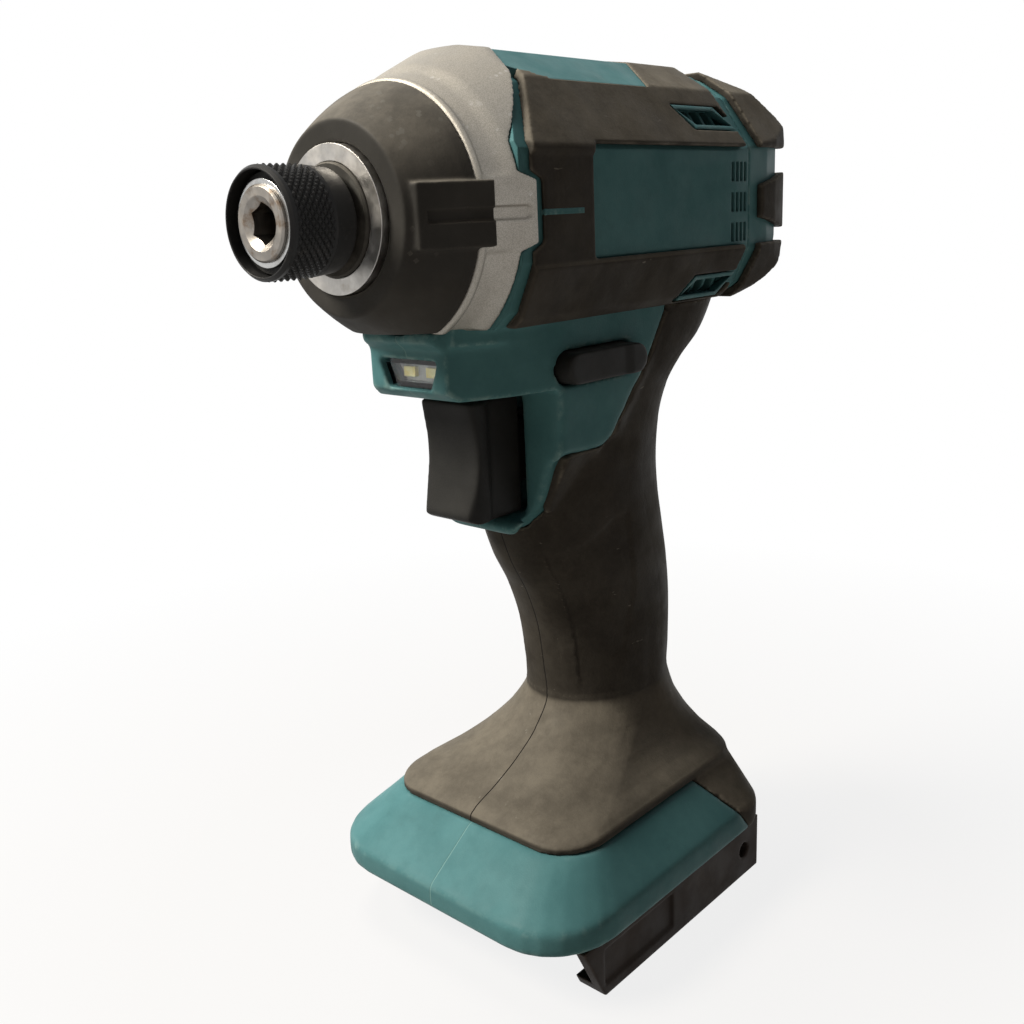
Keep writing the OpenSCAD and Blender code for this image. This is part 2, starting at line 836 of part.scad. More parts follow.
module pinion() {
  color("goldenrod")
    translate([0, 0, axis_z])
      difference() {
        gear(pinion_back, shaft_front, sun_teeth);
        translate([pinion_back - over, 0, 0])
          rotate([0, 90, 0])
            cylinder(h = shaft_front - pinion_back + 2 * over, r = pinion_bore_r);
      }
}

module ring_gear() {
  color("darkgoldenrod")
    translate([0, 0, axis_z])
      difference() {
        translate([plate_front + seat_gap, 0, 0])
          rotate([0, 90, 0])
            cylinder(h = gear_front - plate_front - seat_gap, r = ring_gear_r);
        translate([plate_front, 0, 0])
          rotate([90, 0, 90])
            linear_extrude(gear_front - plate_front + over)
              polygon(
                gear_outline(ring_teeth, addendum_share, dedendum_share, -thinning_share)
              );
      }
}

module bearing_plate() {
  color("dimgray")
    difference() {
      turned([
        [0, plate_back], [small_bearing_r + plate_lip, plate_back],
        [small_bearing_r + plate_lip, case_back], [ring_gear_r, case_back],
        [ring_gear_r, plate_front], [0, plate_front]
      ]);
      drum(hub_back - slide_gap, plate_front + over, bearing_outer_r);
      drum(front_bearing_back, plate_front, small_bearing_r);
      drum(plate_back - over, plate_front, small_bearing_r - plate_lip);
    }
}

// Ball bearing: races with a row of balls between them
bearing_balls = 8;
module bearing_outer(back, outer, inner) {
  ball = (outer - inner - 2 * race_t) / 2 - run_gap;
  middle = (outer + inner) / 2;
  color("silver") {
    tube(back, back + bearing_w, outer, outer - race_t);
    for (i = [0:bearing_balls - 1])
      translate([back + bearing_w / 2, 0, axis_z])
        rotate([360 * i / bearing_balls, 0, 0])
          translate([0, middle, 0])
            sphere(r = ball);
  }
}

module bearing_inner(back, inner) {
  color("silver")
    tube(back, back + bearing_w, inner + race_t, inner);
}

module spindle_bearing_outer() {
  bearing_outer(plate_front - bearing_w, bearing_outer_r, hub_r);
}

module spindle_bearing_inner() {
  bearing_inner(plate_front - bearing_w, hub_r);
}

module front_bearing_outer() {
  bearing_outer(front_bearing_back, small_bearing_r, shaft_r);
}

module front_bearing_inner() {
  bearing_inner(front_bearing_back, shaft_r);
}

module rear_bearing_outer() {
  bearing_outer(rear_bearing_back, small_bearing_r, shaft_r);
}

module rear_bearing_inner() {
  bearing_inner(rear_bearing_back, shaft_r);
}

module motor_shaft() {
  color("silver")
    turned([
      [0, rear_bearing_back], [shaft_r, rear_bearing_back], [shaft_r, pinion_back],
      [pinion_bore_r, pinion_back], [pinion_bore_r, shaft_front], [0, shaft_front]
    ]);
}

module armature_core() {
  color("gray")
    difference() {
      tube(core_back, core_front, core_r, shaft_r);
      for (i = [0:slots - 1])
        translate([core_back - over, 0, axis_z])
          rotate([360 * i / slots, 0, 0])
            translate([0, core_r - slot_depth, -slot_w / 2])
              cube([core_front - core_back + 2 * over, slot_depth + over, slot_w]);
    }
}

// End windings and the bars that lie in the slots of the core
module armature_windings() {
  bar_h = winding_r - core_r + slot_depth - 2 * seat_gap;
  color("orangered") {
    tube(core_front, core_front + winding_t - slide_gap, winding_r, shaft_r + wall);
    tube(core_back - winding_t + slide_gap, core_back, winding_r, shaft_r + wall);
    for (i = [0:slots - 1])
      translate([core_back, 0, axis_z])
        rotate([360 * i / slots, 0, 0])
          translate([0, core_r - slot_depth + seat_gap, seat_gap - slot_w / 2])
            cube([core_front - core_back, bar_h, slot_w - 2 * seat_gap]);
  }
}

module commutator() {
  color("chocolate")
    tube(commutator_back, commutator_back + commutator_len, commutator_r, shaft_r);
}

module cooling_fan() {
  color("black") {
    difference() {
      union() {
        drum(fan_back, fan_front, fan_hub_r);
        drum(fan_back, fan_back + fan_plate_t, fan_r);
        for (i = [0:fan_blades - 1])
          translate([fan_back, 0, axis_z])
            rotate([360 * i / fan_blades, 0, 0])
              translate([0, fan_hub_r - over, -fan_blade_t / 2])
                cube([fan_front - fan_back, fan_r - fan_hub_r, fan_blade_t]);
      }
      drum(fan_back - over, fan_front + over, shaft_r);
    }
  }
}

module motor_yoke() {
  color("lightslategray")
    tube(yoke_back, yoke_front, yoke_r, yoke_r - yoke_t);
}

magnet_half = 38;
module magnets() {
  color("dimgray")
    for (turn = [0:90:270])
      sector(yoke_back + wall, yoke_front - wall, yoke_r - yoke_t, core_r + air_gap, turn, magnet_half);
}

box_top = holder_r - slide_gap - brush_wall;
// Ring that carries two brush boxes against the commutator, above and below the axis
module brush_boxes(grow, from_r, to_r) {
  for (s = [-1, 1])
    translate([
      commutator_back + commutator_len / 2 - brush_l / 2 - grow, -brush_w / 2 - grow,
      axis_z + (s > 0 ? from_r : -to_r)
    ])
      cube([brush_l + 2 * grow, brush_w + 2 * grow, to_r - from_r]);
}

module brush_holder() {
  color("tan")
    difference() {
      union() {
        tube(holder_back, holder_back + holder_t, holder_r, commutator_r + slide_gap + over);
        brush_boxes(brush_wall, commutator_r + slide_gap + over, holder_r - slide_gap);
      }
      brush_boxes(brush_gap, commutator_r, box_top);
    }
}

module brushes() {
  color("black")
    brush_boxes(0, commutator_r + brush_gap, commutator_r + brush_gap + brush_h);
}

// Flat springs that press the brushes on the commutator
module brush_springs() {
  color("silver")
    brush_boxes(-brush_gap, commutator_r + 2 * brush_gap + brush_h, box_top - brush_gap);
}

// Housing beside and below the drive: chin with the lamp, trigger guard and the root of the handle
chin_lip = 0.4;
chin_lip_h = 2;
chin_step = 2.6;
trigger_cover = 1;
guard_reach = 4.5;
guard_h = 4;
neck_run = 42;
chin_x = bumper_back + chin_lip;
guard_x = trigger_back + trigger_cover;
guard_z = trigger_base - slide_gap;
neck_back = guard_x - neck_run;
neck_half_shares = [[0.52, 1], [0.58, 0.95], [0.86, 0.78], [1, 0.6], [1, 0]];
neck_rise_shares = [[0.44, 0], [0.76, 0.12], [0.94, 0.27], [1, 0.5], [1.06, 1]];

// Line between the bare neck and the overmould of the handle, as shares of neck run and trigger height
wrap_shares = [
  [-0.07, -0.05], [-0.06, 0.36], [-0.024, 0.59], [0.048, 0.677], [0.37, 0.658], [0.452, 0.742],
  [0.583, 1.03], [0.726, 1.3], [0.9, 1.72], [0.9, 2.2]
];
wrap_inset = 2.6;
module neck_window() {
  base = guard_z - guard_h;
  line = [for (s = wrap_shares) [guard_x - s[0] * neck_run, base + s[1] * trigger_h]];
  across(concat(line, [[chin_x + over, line[len(line) - 1][1]], [chin_x + over, line[0][1]]]), 0, head_w);
}

module neck_form(inset = 0) {
  base = guard_z - guard_h;
  side = [
    [chin_x, neck_top], [chin_x, chin_top - chin_lip_h], [chin_x - chin_step, chin_top - 2 * chin_lip_h],
    [chin_x - chin_step, chin_base + chin_lip_h], [chin_x - 2 * chin_step, chin_base],
    [guard_x, chin_base], [guard_x, guard_z], [guard_x + guard_reach, guard_z],
    [guard_x + guard_reach + chin_lip_h, guard_z - chin_lip_h], [guard_x + guard_reach, base],
    [guard_x - guard_reach, base], [neck_back + neck_run / 3, trigger_axis_z], [neck_back, neck_top]
  ];
  plan = flipped([
    for (s = neck_half_shares) [neck_back + s[1] * (chin_x - neck_back), s[0] * neck_w / 2 - inset]
  ]);
  front = mirrored([
    for (i = [len(neck_rise_shares) - 1:-1:0]) let (s = neck_rise_shares[i])
      [s[0] * neck_w / 2 - inset, base + s[1] * (neck_top - base)]
  ]);
  intersection() {
    across(side, -neck_w, neck_w);
    along(front, neck_back - over, chin_x + over);
    linear_extrude(neck_top + over)
      polygon(plan);
  }
}

module grip_form() {
  loft(concat(flare_rings, handle_rings));
}

module foot_form() {
  loft(foot_rings);
}

// Leaning tube of the handle, thinner by an inset
module handle_core(inset, from_z, to_z) {
  reach = core_half - core_w / 2;
  translate([core_base_share * handle_depth, 0, flange_z])
    rotate([0, core_lean, 0])
      translate([0, 0, from_z - flange_z])
        linear_extrude(to_z - from_z) {
          square([2 * reach, core_w - 2 * inset], center = true);
          for (s = [-1, 1])
            translate([s * reach, 0])
              circle(r = core_w / 2 - inset);
        }
}

// Block inside the foot that joins the handle to the rails
foot_core_share = 0.6;
module foot_core() {
  half = foot_shares[len(foot_shares) - 1][3] * foot_w / 2 - 2 * skin;
  back = foot_shares[len(foot_shares) - 1][1] * foot_back + 2 * skin;
  translate([back, 0, rail_h])
    cube([foot_core_share * foot_front - back, half, flange_z - rail_h]);
}

// Leads from the switch to the motor lie on the floor of the head
lead_x = switch_back + lead_pitch;
lead_z = handle_top + skin + wall + lead_r + run_gap;
lead_room = lead_r + slide_gap;

// Outline of the lamp seen from the front, wider at the top
function led_outline(inset) = mirrored([
  [led_w / 2 - inset, led_z + led_h - inset], [led_w / 2 - led_taper - inset, led_z + inset]
]);

// Space of the trigger, the lever, the lamp and the switch inside the neck
module neck_cuts() {
  pocket_half = trigger_w / 2 + slide_gap;
  pocket_back = trigger_back - trigger_travel - slide_gap;
  shank_half = shank_w / 2 + slide_gap;
  translate([pocket_back, -pocket_half, guard_z])
    cube([chin_x, 2 * pocket_half, trigger_h + 2 * slide_gap]);
  translate([switch_front - over, -shank_half, trigger_axis_z - shank_h / 2 - slide_gap])
    cube([pocket_back - switch_front + 2 * over, 2 * shank_half, shank_h + 2 * slide_gap]);
  translate([switch_back - seat_gap, -switch_w / 2 - seat_gap, switch_base - seat_gap])
    cube([switch_len + 2 * seat_gap, switch_w + 2 * seat_gap, switch_h + 2 * seat_gap]);
  lever_form(slide_gap, neck_w);
  along(led_outline(-seat_gap), led_front - led_depth - led_board_t - seat_gap, chin_x + over);
  translate([lead_x - lead_room, lead_y - lead_room, switch_base + switch_h])
    cube([2 * lead_room, 2 * lead_room, lead_z - switch_base - switch_h]);
  translate([lead_x - lead_pitch - 2 * lead_room, lead_y - lead_room, chin_top])
    cube([lead_pitch + 3 * lead_room, 2 * lead_room, lead_z - chin_top]);
}

// Bar with round ends that passes across the tool
module lever_form(grow, half) {
  reach = lever_len / 2 - lever_h / 2;
  translate([lever_x, half, lever_z])
    rotate([90, 0, 0])
      linear_extrude(2 * half) {
        square([2 * reach, lever_h + 2 * grow], center = true);
        for (s = [-1, 1])
          translate([s * reach, 0])
            circle(r = lever_h / 2 + grow);
      }
}

// Vents: slots between slats through the side of the head
louvre_w = 7;
louvre_h = 4.2;
louvre_slots = 4;
louvre_slat = 0.7;
louvre_x = rear_x + rear_cover_len + over;
louvre_pitch = 6.6;
vent_y = head_w / 2 - skin - wall - over;
module louvre_cuts() {
  slot = (louvre_w - (louvre_slots - 1) * louvre_slat) / louvre_slots;
  for (k = [-1:1]) for (i = [0:louvre_slots - 1])
    translate([louvre_x + i * (slot + louvre_slat), vent_y, axis_z + k * louvre_pitch - louvre_h / 2])
      cube([slot, head_w / 2, louvre_h]);
}

// Slanted vent in the upper and lower overmould
vent_len = 19;
vent_h = 5.4;
vent_lean = 5;
vent_slots = 4;
vent_frame = 1.3;
vent_slat = 1;
vent_x = louvre_x + over;
vent_share = 0.56;
vent_low_share = 0.78;
vent_z = vent_share * head_rise;
vent_low_z = vent_low_share * head_drop;
function vent_outline(grow, up) = let (low = axis_z + (up ? vent_z : -vent_low_z) - vent_h / 2 - grow)
  [
    [vent_x - grow + (up ? 0 : vent_lean), low],
    [vent_x + vent_len - grow + (up ? 0 : vent_lean), low],
    [vent_x + vent_len + grow + (up ? vent_lean : 0), low + vent_h + 2 * grow],
    [vent_x - grow + (up ? vent_lean : 0), low + vent_h + 2 * grow]
  ];
module vent_cuts(up) {
  pitch = (vent_len - 2 * vent_frame) / vent_slots;
  intersection() {
    across(vent_outline(-vent_frame, up), head_w / 4, head_w);
    for (i = [0:vent_slots - 1])
      translate([vent_x + vent_frame + vent_lean / 2 + i * pitch, 0, 0])
        cube([pitch - vent_slat, head_w, axis_z + head_rise]);
  }
}

// Ribs inside the head that hold the hammer case and the motor yoke
rib_t = 2;
module head_ribs() {
  for (rib = [
    [case_back + 2 * rib_t, case_back_r], [gear_front, case_back_r],
    [yoke_front - 2 * rib_t, yoke_r], [rear_x + rear_cover_len + rib_t, yoke_r]
  ])
    difference() {
      translate([rib[0] - rib_t, -head_w / 2, axis_z - head_w / 2])
        cube([rib_t, head_w, head_w]);
      drum(rib[0] - rib_t - over, rib[0] + over, rib[1] + seat_gap);
      translate([rib[0] - rib_t - over, lead_y - lead_room, handle_top])
        cube([rib_t + 2 * over, 2 * lead_room, lead_z + 3 * lead_room - handle_top]);
    }
}

// Screws along the split: place as shares of length and height, head depth as a share of the head's width
// The one in the head lies above the axis by a share of the head's drop
screw_shares = [
  [0.165, 0.815, 0.26], [-0.20, 0, 0.30, 1.054565], [-0.179, 0.594, 0.20], [-0.212, 0.38, 0.20],
  [-0.255, 0.145, 0.36], [0.13, 0.145, 0.36]
];
function screw_rise(s) = len(s) > 3 ? axis_z + s[3] * head_drop : s[1] * axis_z;
function screw_place(s) = [s[0] * tool_len, 0, screw_rise(s)];
module screw_bosses(r) {
  for (s = screw_shares)
    translate(screw_place(s) + [0, head_w / 2, 0])
      rotate([90, 0, 0])
        cylinder(h = head_w / 2, r = r);
}

module screw_holes(head_side) {
  for (s = screw_shares)
    translate(screw_place(s)) {
      rotate([-90, 0, 0])
        cylinder(h = s[2] * head_w - (head_side ? 0 : wall), r = screw_r + run_gap);
      if (head_side)
        translate([0, s[2] * head_w - screw_head_t, 0])
          rotate([-90, 0, 0])
            cylinder(h = head_w, r = screw_head_r + seat_gap);
    }
}

// Space inside one housing half
module housing_space() {
  difference() {
    union() {
      difference() {
        head_form(skin + wall);
        head_ribs();
        cover_bosses();
      }
      drum(yoke_back - seat_gap, yoke_front + seat_gap, yoke_r + seat_gap);
      drum(case_back - seat_gap, seam_x + over, case_r + seat_gap);
      drum(case_back - seat_gap, gear_front + 2 * case_wall, case_back_r + seat_gap);
      handle_core(wall, flange_z - wall, switch_base + wall);
      translate([block_back + block_len / 2 - core_w / 2, 0, rail_h + wall])
        cube([core_w, core_w / 2 - wall, flange_z - rail_h + wall]);
    }
    screw_bosses(boss_r);
  }
  translate([block_back + block_len / 2 - lead_pitch, 0, rail_h - over])
    cube([2 * lead_pitch, 2 * lead_pitch, wall + 2 * over]);
  neck_cuts();
  turned([
    [0, seam_x - tab_len], [cover_in_r, seam_x - tab_len], [cover_in_r, seam_x],
    [cover_seat_r + seat_gap, bumper_back], [cover_seat_r + seat_gap, front_x], [0, front_x]
  ]);
  translate([rear_x - over, 0, axis_z - head_drop - over])
    cube([rear_cover_len + over, head_w, head_rise + head_drop + 2 * over]);
}

// Rear zone of the foot that the overmould covers, in the side view
foot_wrap = 9;
foot_wrap_lean = 14;
function foot_wrap_points() = [
  [foot_back - over, rail_h - over], [foot_back + foot_wrap, rail_h - over],
  [foot_back + foot_wrap + foot_wrap_lean, flange_z + over], [foot_back - over, flange_z + over]
];

// Raised plate on top of the head, as an outline seen from above
plate_nose_share = 0.56;
plate_half_share = 0.70;
plate_bend_share = 0.76;
plate_mid_share = 0.47;
plate_tip_share = 0.37;
plate_drop = 0.3;
module plate_outline() {
  half = plate_half_share * head_w / 2;
  translate([0, 0, axis_z])
    linear_extrude(2 * head_rise)
      polygon([
        [head_x(1, 0), 0], [head_x(1, 0), plate_nose_share * half],
        [head_x(plate_bend_share, 0), half], [head_x(plate_mid_share, 0), half],
        [head_x(plate_tip_share, 0), 0]
      ]);
}

module top_plate() {
  intersection() {
    head_form(plate_drop);
    plate_outline();
  }
}

module housing_half(head_side) {
  difference() {
    union() {
      intersection() {
        head_form(skin);
        across(behind_seam(seat_gap), 0, head_w);
      }
      intersection() {
        union() {
          intersection() {
            neck_form();
            neck_window();
          }
          neck_form(wrap_inset);
        }
        left_side();
        translate([rear_x, 0, 0])
          cube([tool_len, foot_w, chin_top]);
      }
      intersection() {
        handle_core(0, flange_z - wall, neck_top);
        left_side();
      }
      difference() {
        foot_form();
        across(foot_wrap_points(), 0, foot_w);
      }
      foot_core();
      intersection() {
        top_plate();
        across(behind_seam(seat_gap), 0, head_w);
      }
    }
    housing_space();
    screw_holes(head_side);
    cover_screw_cuts(screw_r + run_gap, screw_head_r);
    louvre_cuts();
    vent_cuts(true);
    vent_cuts(false);
  }
}

module housing_left() {
  color("teal")
    housing_half(false);
}

module housing_right() {
  color("teal")
    right_hand()
      housing_half(true);
}

// Parts of the head that the overmould leaves bare, in the side view
panel_front_share = 0.735;
panel_top_share = 0.37;
panel_low_share = -0.41;
band_top_share = 0.25;
band_side_share = 0.215;
module bare_zones() {
  across([
    [head_x(panel_front_share, 0), axis_z + head_z(panel_top_share, 0)],
    [head_x(band_side_share, 0), axis_z + head_z(panel_top_share, 0)],
    [head_x(band_top_share, 0) + over, axis_z + head_rise + over],
    [rear_x - over, axis_z + head_rise + over], [rear_x - over, chin_top - head_drop],
    [head_x(band_top_share, 0) + over, chin_top - head_drop],
    [head_x(band_side_share, 0), axis_z + head_z(panel_low_share, 0)],
    [head_x(panel_front_share, 0), axis_z + head_z(panel_low_share, 0)]
  ], 0, head_w);
  across(vent_outline(0, true), 0, head_w);
  across(vent_outline(0, false), 0, head_w);
  plate_outline();
}

module grip_half(head_side) {
  difference() {
    union() {
      difference() {
        intersection() {
          head_form();
          across(behind_seam(seam_rim), 0, head_w);
        }
        head_form(skin);
        bare_zones();
      }
      difference() {
        grip_form();
        handle_core(0, flange_z - wall, neck_top);
        head_form(skin);
        across(vent_outline(0, false), 0, head_w);
        neck_form(wrap_inset);
        neck_window();
        neck_cuts();
        translate([rear_x - over, 0, flange_z])
          cube([rear_cover_len + over, head_w, axis_z]);
      }
      difference() {
        intersection() {
          foot_form();
          across(foot_wrap_points(), 0, foot_w);
        }
        foot_core();
        handle_core(0, flange_z - wall, neck_top);
      }
    }
    if (head_side)
      screw_access();
  }
}

// The screw heads on the right side show through the overmould
module screw_access() {
  for (s = screw_shares)
    translate(screw_place(s))
      rotate([-90, 0, 0])
        cylinder(h = head_w, r = screw_head_r + seat_gap);
}

module grip_left() {
  color("dimgray")
    grip_half(false);
}

module grip_right() {
  color("dimgray")
    right_hand()
      grip_half(true);
}

// Rear cover: closes the head behind the motor and carries the rear bearing and the brush ring
module rear_cover() {
  cup_r = small_bearing_r + wall;
  rib_face = holder_back - seat_gap;
  color("teal")
    difference() {
      intersection() {
        head_form(skin);
        translate([rear_x - over, -head_w, 0])
          cube([rear_cover_len + over - seat_gap, 2 * head_w, axis_z + head_rise + over]);
      }
      difference() {
        head_form(skin + wall);
        tube(rear_x, rear_bearing_front, cup_r, small_bearing_r);
        tube(rib_face - wall / 2, rib_face, head_w, holder_r - wall);
        cover_bosses();
      }
      drum(rear_bearing_back, rear_bearing_front + over, small_bearing_r);
      cover_screw_cuts(screw_r + seat_gap, screw_head_r + seat_gap);
    }
}

// Two screws run forward through the rear cover
cover_screw_y_share = 0.68;
cover_screw_z_share = 0.6;
cover_screw_len = 24;
module cover_screw_places() {
  screw_z = axis_z + cover_screw_z_share * head_drop;
  for (s = [-1, 1])
    translate([rear_x + skin + wall / 2, s * cover_screw_y_share * head_w / 2, screw_z])
      rotate([0, 90, 0])
        children();
}

module cover_bosses() {
  cover_screw_places()
    cylinder(h = cover_screw_len + wall, r = screw_head_r);
}

module cover_screw_cuts(r, head) {
  cover_screw_places() {
    cylinder(h = cover_screw_len + over, r = r);
    translate([0, 0, -head_w])
      cylinder(h = head_w + screw_head_t, r = head);
  }
}

module cover_screws() {
  color("black")
    cover_screw_places() {
      cylinder(h = cover_screw_len, r = screw_r);
      cylinder(h = screw_head_t, r = screw_head_r);
    }
}

// Soft bumper moulded on the rear cover, with a wedge at each side
bumper_front_share = 0.18;
bumper_side_share = 0.15;
wedge_h = 13.5;
wedge_len_share = 0.145;
wedge_top_share = 0.55;
module rear_bumper() {
  color("dimgray")
    difference() {
      intersection() {
        head_form();
        union() {
          across([
            [head_x(bumper_side_share, 0), axis_z + head_z(panel_top_share, 0)],
            [head_x(bumper_front_share, 0), axis_z + head_rise + over],
            [rear_x - over, axis_z + head_rise + over],
            [rear_x - over, axis_z + head_z(panel_top_share, 0)]
          ], -head_w, head_w);
          across([
            [head_x(bumper_side_share, 0), axis_z + head_z(panel_low_share, 0)],
            [head_x(bumper_front_share, 0), axis_z - head_drop - over],
            [rear_x - over, axis_z - head_drop - over],
            [rear_x - over, axis_z + head_z(panel_low_share, 0)]
          ], -head_w, head_w);
          across([
            [rear_x - over, axis_z - wedge_h / 2], [rear_x - over, axis_z + wedge_h / 2],
            [head_x(wedge_len_share, 0), axis_z + wedge_top_share * wedge_h / 2],
            [head_x(wedge_len_share, 0), axis_z - wedge_top_share * wedge_h / 2]
          ], -head_w, head_w);
        }
      }
      head_form(skin);
      cover_screw_cuts(screw_r + seat_gap, screw_head_r + seat_gap);
    }
}

module switch_body() {
  color("black")
    difference() {
      translate([switch_back, -switch_w / 2, switch_base])
        cube([switch_len, switch_w, switch_h]);
      translate([switch_front - plunger_len, 0, trigger_axis_z])
        rotate([0, 90, 0])
          cylinder(h = plunger_len + over, r = plunger_r + run_gap);
    }
}

trigger_dish = 2.4;
trigger_lip = 1.4;
trigger_step = 0.8;
trigger_step_len = 5;
module trigger() {
  low = trigger_base;
  top = trigger_top;
  face = trigger_front;
  steps = 8;
  rise = trigger_h - trigger_lip;
  plunger_back = switch_front - plunger_len / 2 + trigger_travel / 2;
  outline = concat(
    [for (i = [0:steps]) let (u = i / steps)
      [face - trigger_dish * sin(180 * u) + trigger_lip * (1 - u), low + trigger_lip + u * rise]],
    [[trigger_back, top], [trigger_back, low], [face - trigger_lip, low]]
  );
  color("black")
    difference() {
      union() {
        intersection() {
          across(outline, -trigger_w / 2, trigger_w / 2);
          translate([0, 0, low])
            linear_extrude(trigger_h)
              polygon(flipped([
                [face + trigger_lip, trigger_w / 2 - trigger_lip],
                [face - trigger_lip, trigger_w / 2], [face - trigger_step_len, trigger_w / 2],
                [face - trigger_step_len, trigger_w / 2 - trigger_step],
                [trigger_back, trigger_w / 2 - trigger_step]
              ]));
        }
        translate([shank_back, -shank_w / 2, trigger_axis_z - shank_h / 2])
          cube([shank_len + over, shank_w, shank_h]);
      }
      translate([shank_back - over, 0, trigger_axis_z])
        rotate([0, 90, 0])
          cylinder(h = shank_len + over, r = shank_bore_r);
    }
  color("black")
    translate([plunger_back, 0, trigger_axis_z])
      rotate([0, 90, 0])
        cylinder(h = trigger_back - plunger_back + over, r = plunger_r);
}

module trigger_spring() {
  color("silver")
    coil(
      switch_front + seat_gap, trigger_back - seat_gap, (plunger_r + shank_bore_r) / 2,
      trigger_wire, trigger_turns, trigger_axis_z
    );
}

module direction_lever() {
  color("black")
    lever_form(0, lever_half);
}

module led_board() {
  color("green")
    along(led_outline(0), led_front - led_depth - led_board_t, led_front - led_depth);
}

module leds() {
  color("khaki")
    for (s = [-1, 1])
      translate([led_front - led_depth, (s * led_pitch - led_chip) / 2, led_z + (led_h - led_chip) / 2])
        cube([led_chip_t, led_chip, led_chip]);
}

// Clear lens with a hollow over the lamps
module led_lens() {
  lens_wall = led_chip_t;
  color("white")
    difference() {
      along(led_outline(0), led_front - led_depth, led_front);
      along(led_outline(lens_wall), led_front - led_depth - over, led_front - lens_wall);
    }
}

// Battery rail: a wall with a lip turned inwards, slanted at the front
rail_front_share = 0.77;
rail_slant = 7;
panel_share = 0.62;
panel_rise_share = 0.62;
rail_hole_share = 0.16;
module rail_half() {
  front = rail_front_share * foot_front;
  back = foot_back + rail_wall;
  panel_len = panel_share * foot_len / 2;
  panel_z = rail_h * (1 - panel_rise_share) / 2;
  color("dimgray")
    difference() {
      intersection() {
        across([
          [back, 0], [front - rail_slant, 0], [front, rail_h], [back, rail_h]
        ], rail_gap / 2, rail_y);
        union() {
          translate([back, rail_y - rail_wall, 0])
            cube([foot_len, rail_wall, rail_h]);
          translate([back, rail_gap / 2, 0])
            cube([foot_len, rail_y - rail_gap / 2, rail_lip]);
        }
      }
      translate([front - rail_slant - panel_len, rail_y - panel_depth, panel_z])
        cube([panel_len, rail_wall, panel_rise_share * rail_h]);
      translate([back + rail_hole_share * foot_len / 2, rail_y + over, rail_h / 2])
        rotate([90, 0, 0])
          cylinder(h = rail_wall + 2 * over, r = rail_hole_r);
    }
}

module rail_left() {
  rail_half();
}

module rail_right() {
  right_hand()
    rail_half();
}

// Terminal block under the foot with blades that face the front
block_inset = 4.4;
block_back = foot_back + block_inset;
block_base = rail_h - block_h;
blade_rise = 1;
blade_z = block_base + blade_rise;
blade_x = block_back + block_len - blade_len;
module terminal_block() {
  color("black")
    difference() {
      translate([block_back, -block_w / 2, block_base])
        cube([block_len, block_w, block_h]);
      for (s = [-1, 1])
        translate([blade_x, s * blade_pitch - blade_pitch / 4, block_base - over])
          cube([blade_len + over, blade_pitch / 2, blade_h + 2 * over]);
    }
}

module terminal_blades() {
  color("gold")
    for (s = [-1, 1])
      translate([blade_x, s * blade_pitch - blade_t / 2, blade_z])
        cube([blade_len - blade_rise, blade_t, blade_h]);
}

// Lead inside the housing: one tube of eight sides swept in the plane of its points
lead_sides = 8;
function step_angle(points, i) = atan2(points[i + 1][2] - points[i][2], points[i + 1][0] - points[i][0]);
function bend_angle(points, i) =
  i == 0 ? step_angle(points, 0)
  : i == len(points) - 1 ? step_angle(points, i - 1)
  : (step_angle(points, i - 1) + step_angle(points, i)) / 2;
module lead(points) {
  last = len(points) - 1;
  rings = [
    for (i = [0:last]) for (k = [0:lead_sides - 1])
      let (a = bend_angle(points, i), b = 360 * k / lead_sides, out = lead_r * cos(b))
      points[i] + [-out * sin(a), lead_r * sin(b), out * cos(a)]
  ];
  sides = [
    for (i = [0:last - 1]) for (k = [0:lead_sides - 1])
      let (n = lead_sides, a = i * n + k, b = i * n + (k + 1) % n)
      each [[a, b, b + n], [a, b + n, a + n]]
  ];
  caps = [
    [for (k = [lead_sides - 1:-1:0]) k],
    [for (k = [0:lead_sides - 1]) last * lead_sides + k]
  ];
  polyhedron(rings, concat(sides, caps));
}

lead_bend_share = -0.44;
module battery_leads() {
  start = block_back + block_len / 2;
  color("red")
    for (y = [-lead_pitch, lead_pitch])
      lead([
        [start, y, rail_h], [start, y, flange_z],
        [lead_bend_share * handle_depth, y, flange_z + handle_rise / 4],
        [switch_back + switch_len / 2, y, switch_base]
      ]);
}

module motor_leads() {
  joint_x = rear_x + rear_cover_len;
  color("red")
    for (y = [-lead_y, lead_y])
      lead([
        [lead_x, y, switch_base + switch_h], [lead_x, y, chin_top + seat_gap],
        [lead_x - lead_pitch, y, lead_z], [joint_x + 2 * lead_pitch, y, lead_z],
        [joint_x, y, lead_z + 2 * lead_r], [joint_x - lead_pitch, y, lead_z + lead_bend],
        [holder_back + holder_t + lead_r, y, lead_z + lead_bend + 2 * lead_r]
      ]);
}

module housing_screws() {
  color("black")
    for (s = screw_shares)
      translate(screw_place(s))
        right_hand() {
          translate([0, s[2] * head_w - screw_head_t, 0])
            rotate([-90, 0, 0])
              cylinder(h = screw_head_t, r = screw_head_r);
          translate([0, wall - s[2] * head_w + screw_head_t, 0])
            rotate([-90, 0, 0])
              cylinder(h = 2 * s[2] * head_w - wall - 2 * screw_head_t, r = screw_r);
        }
}

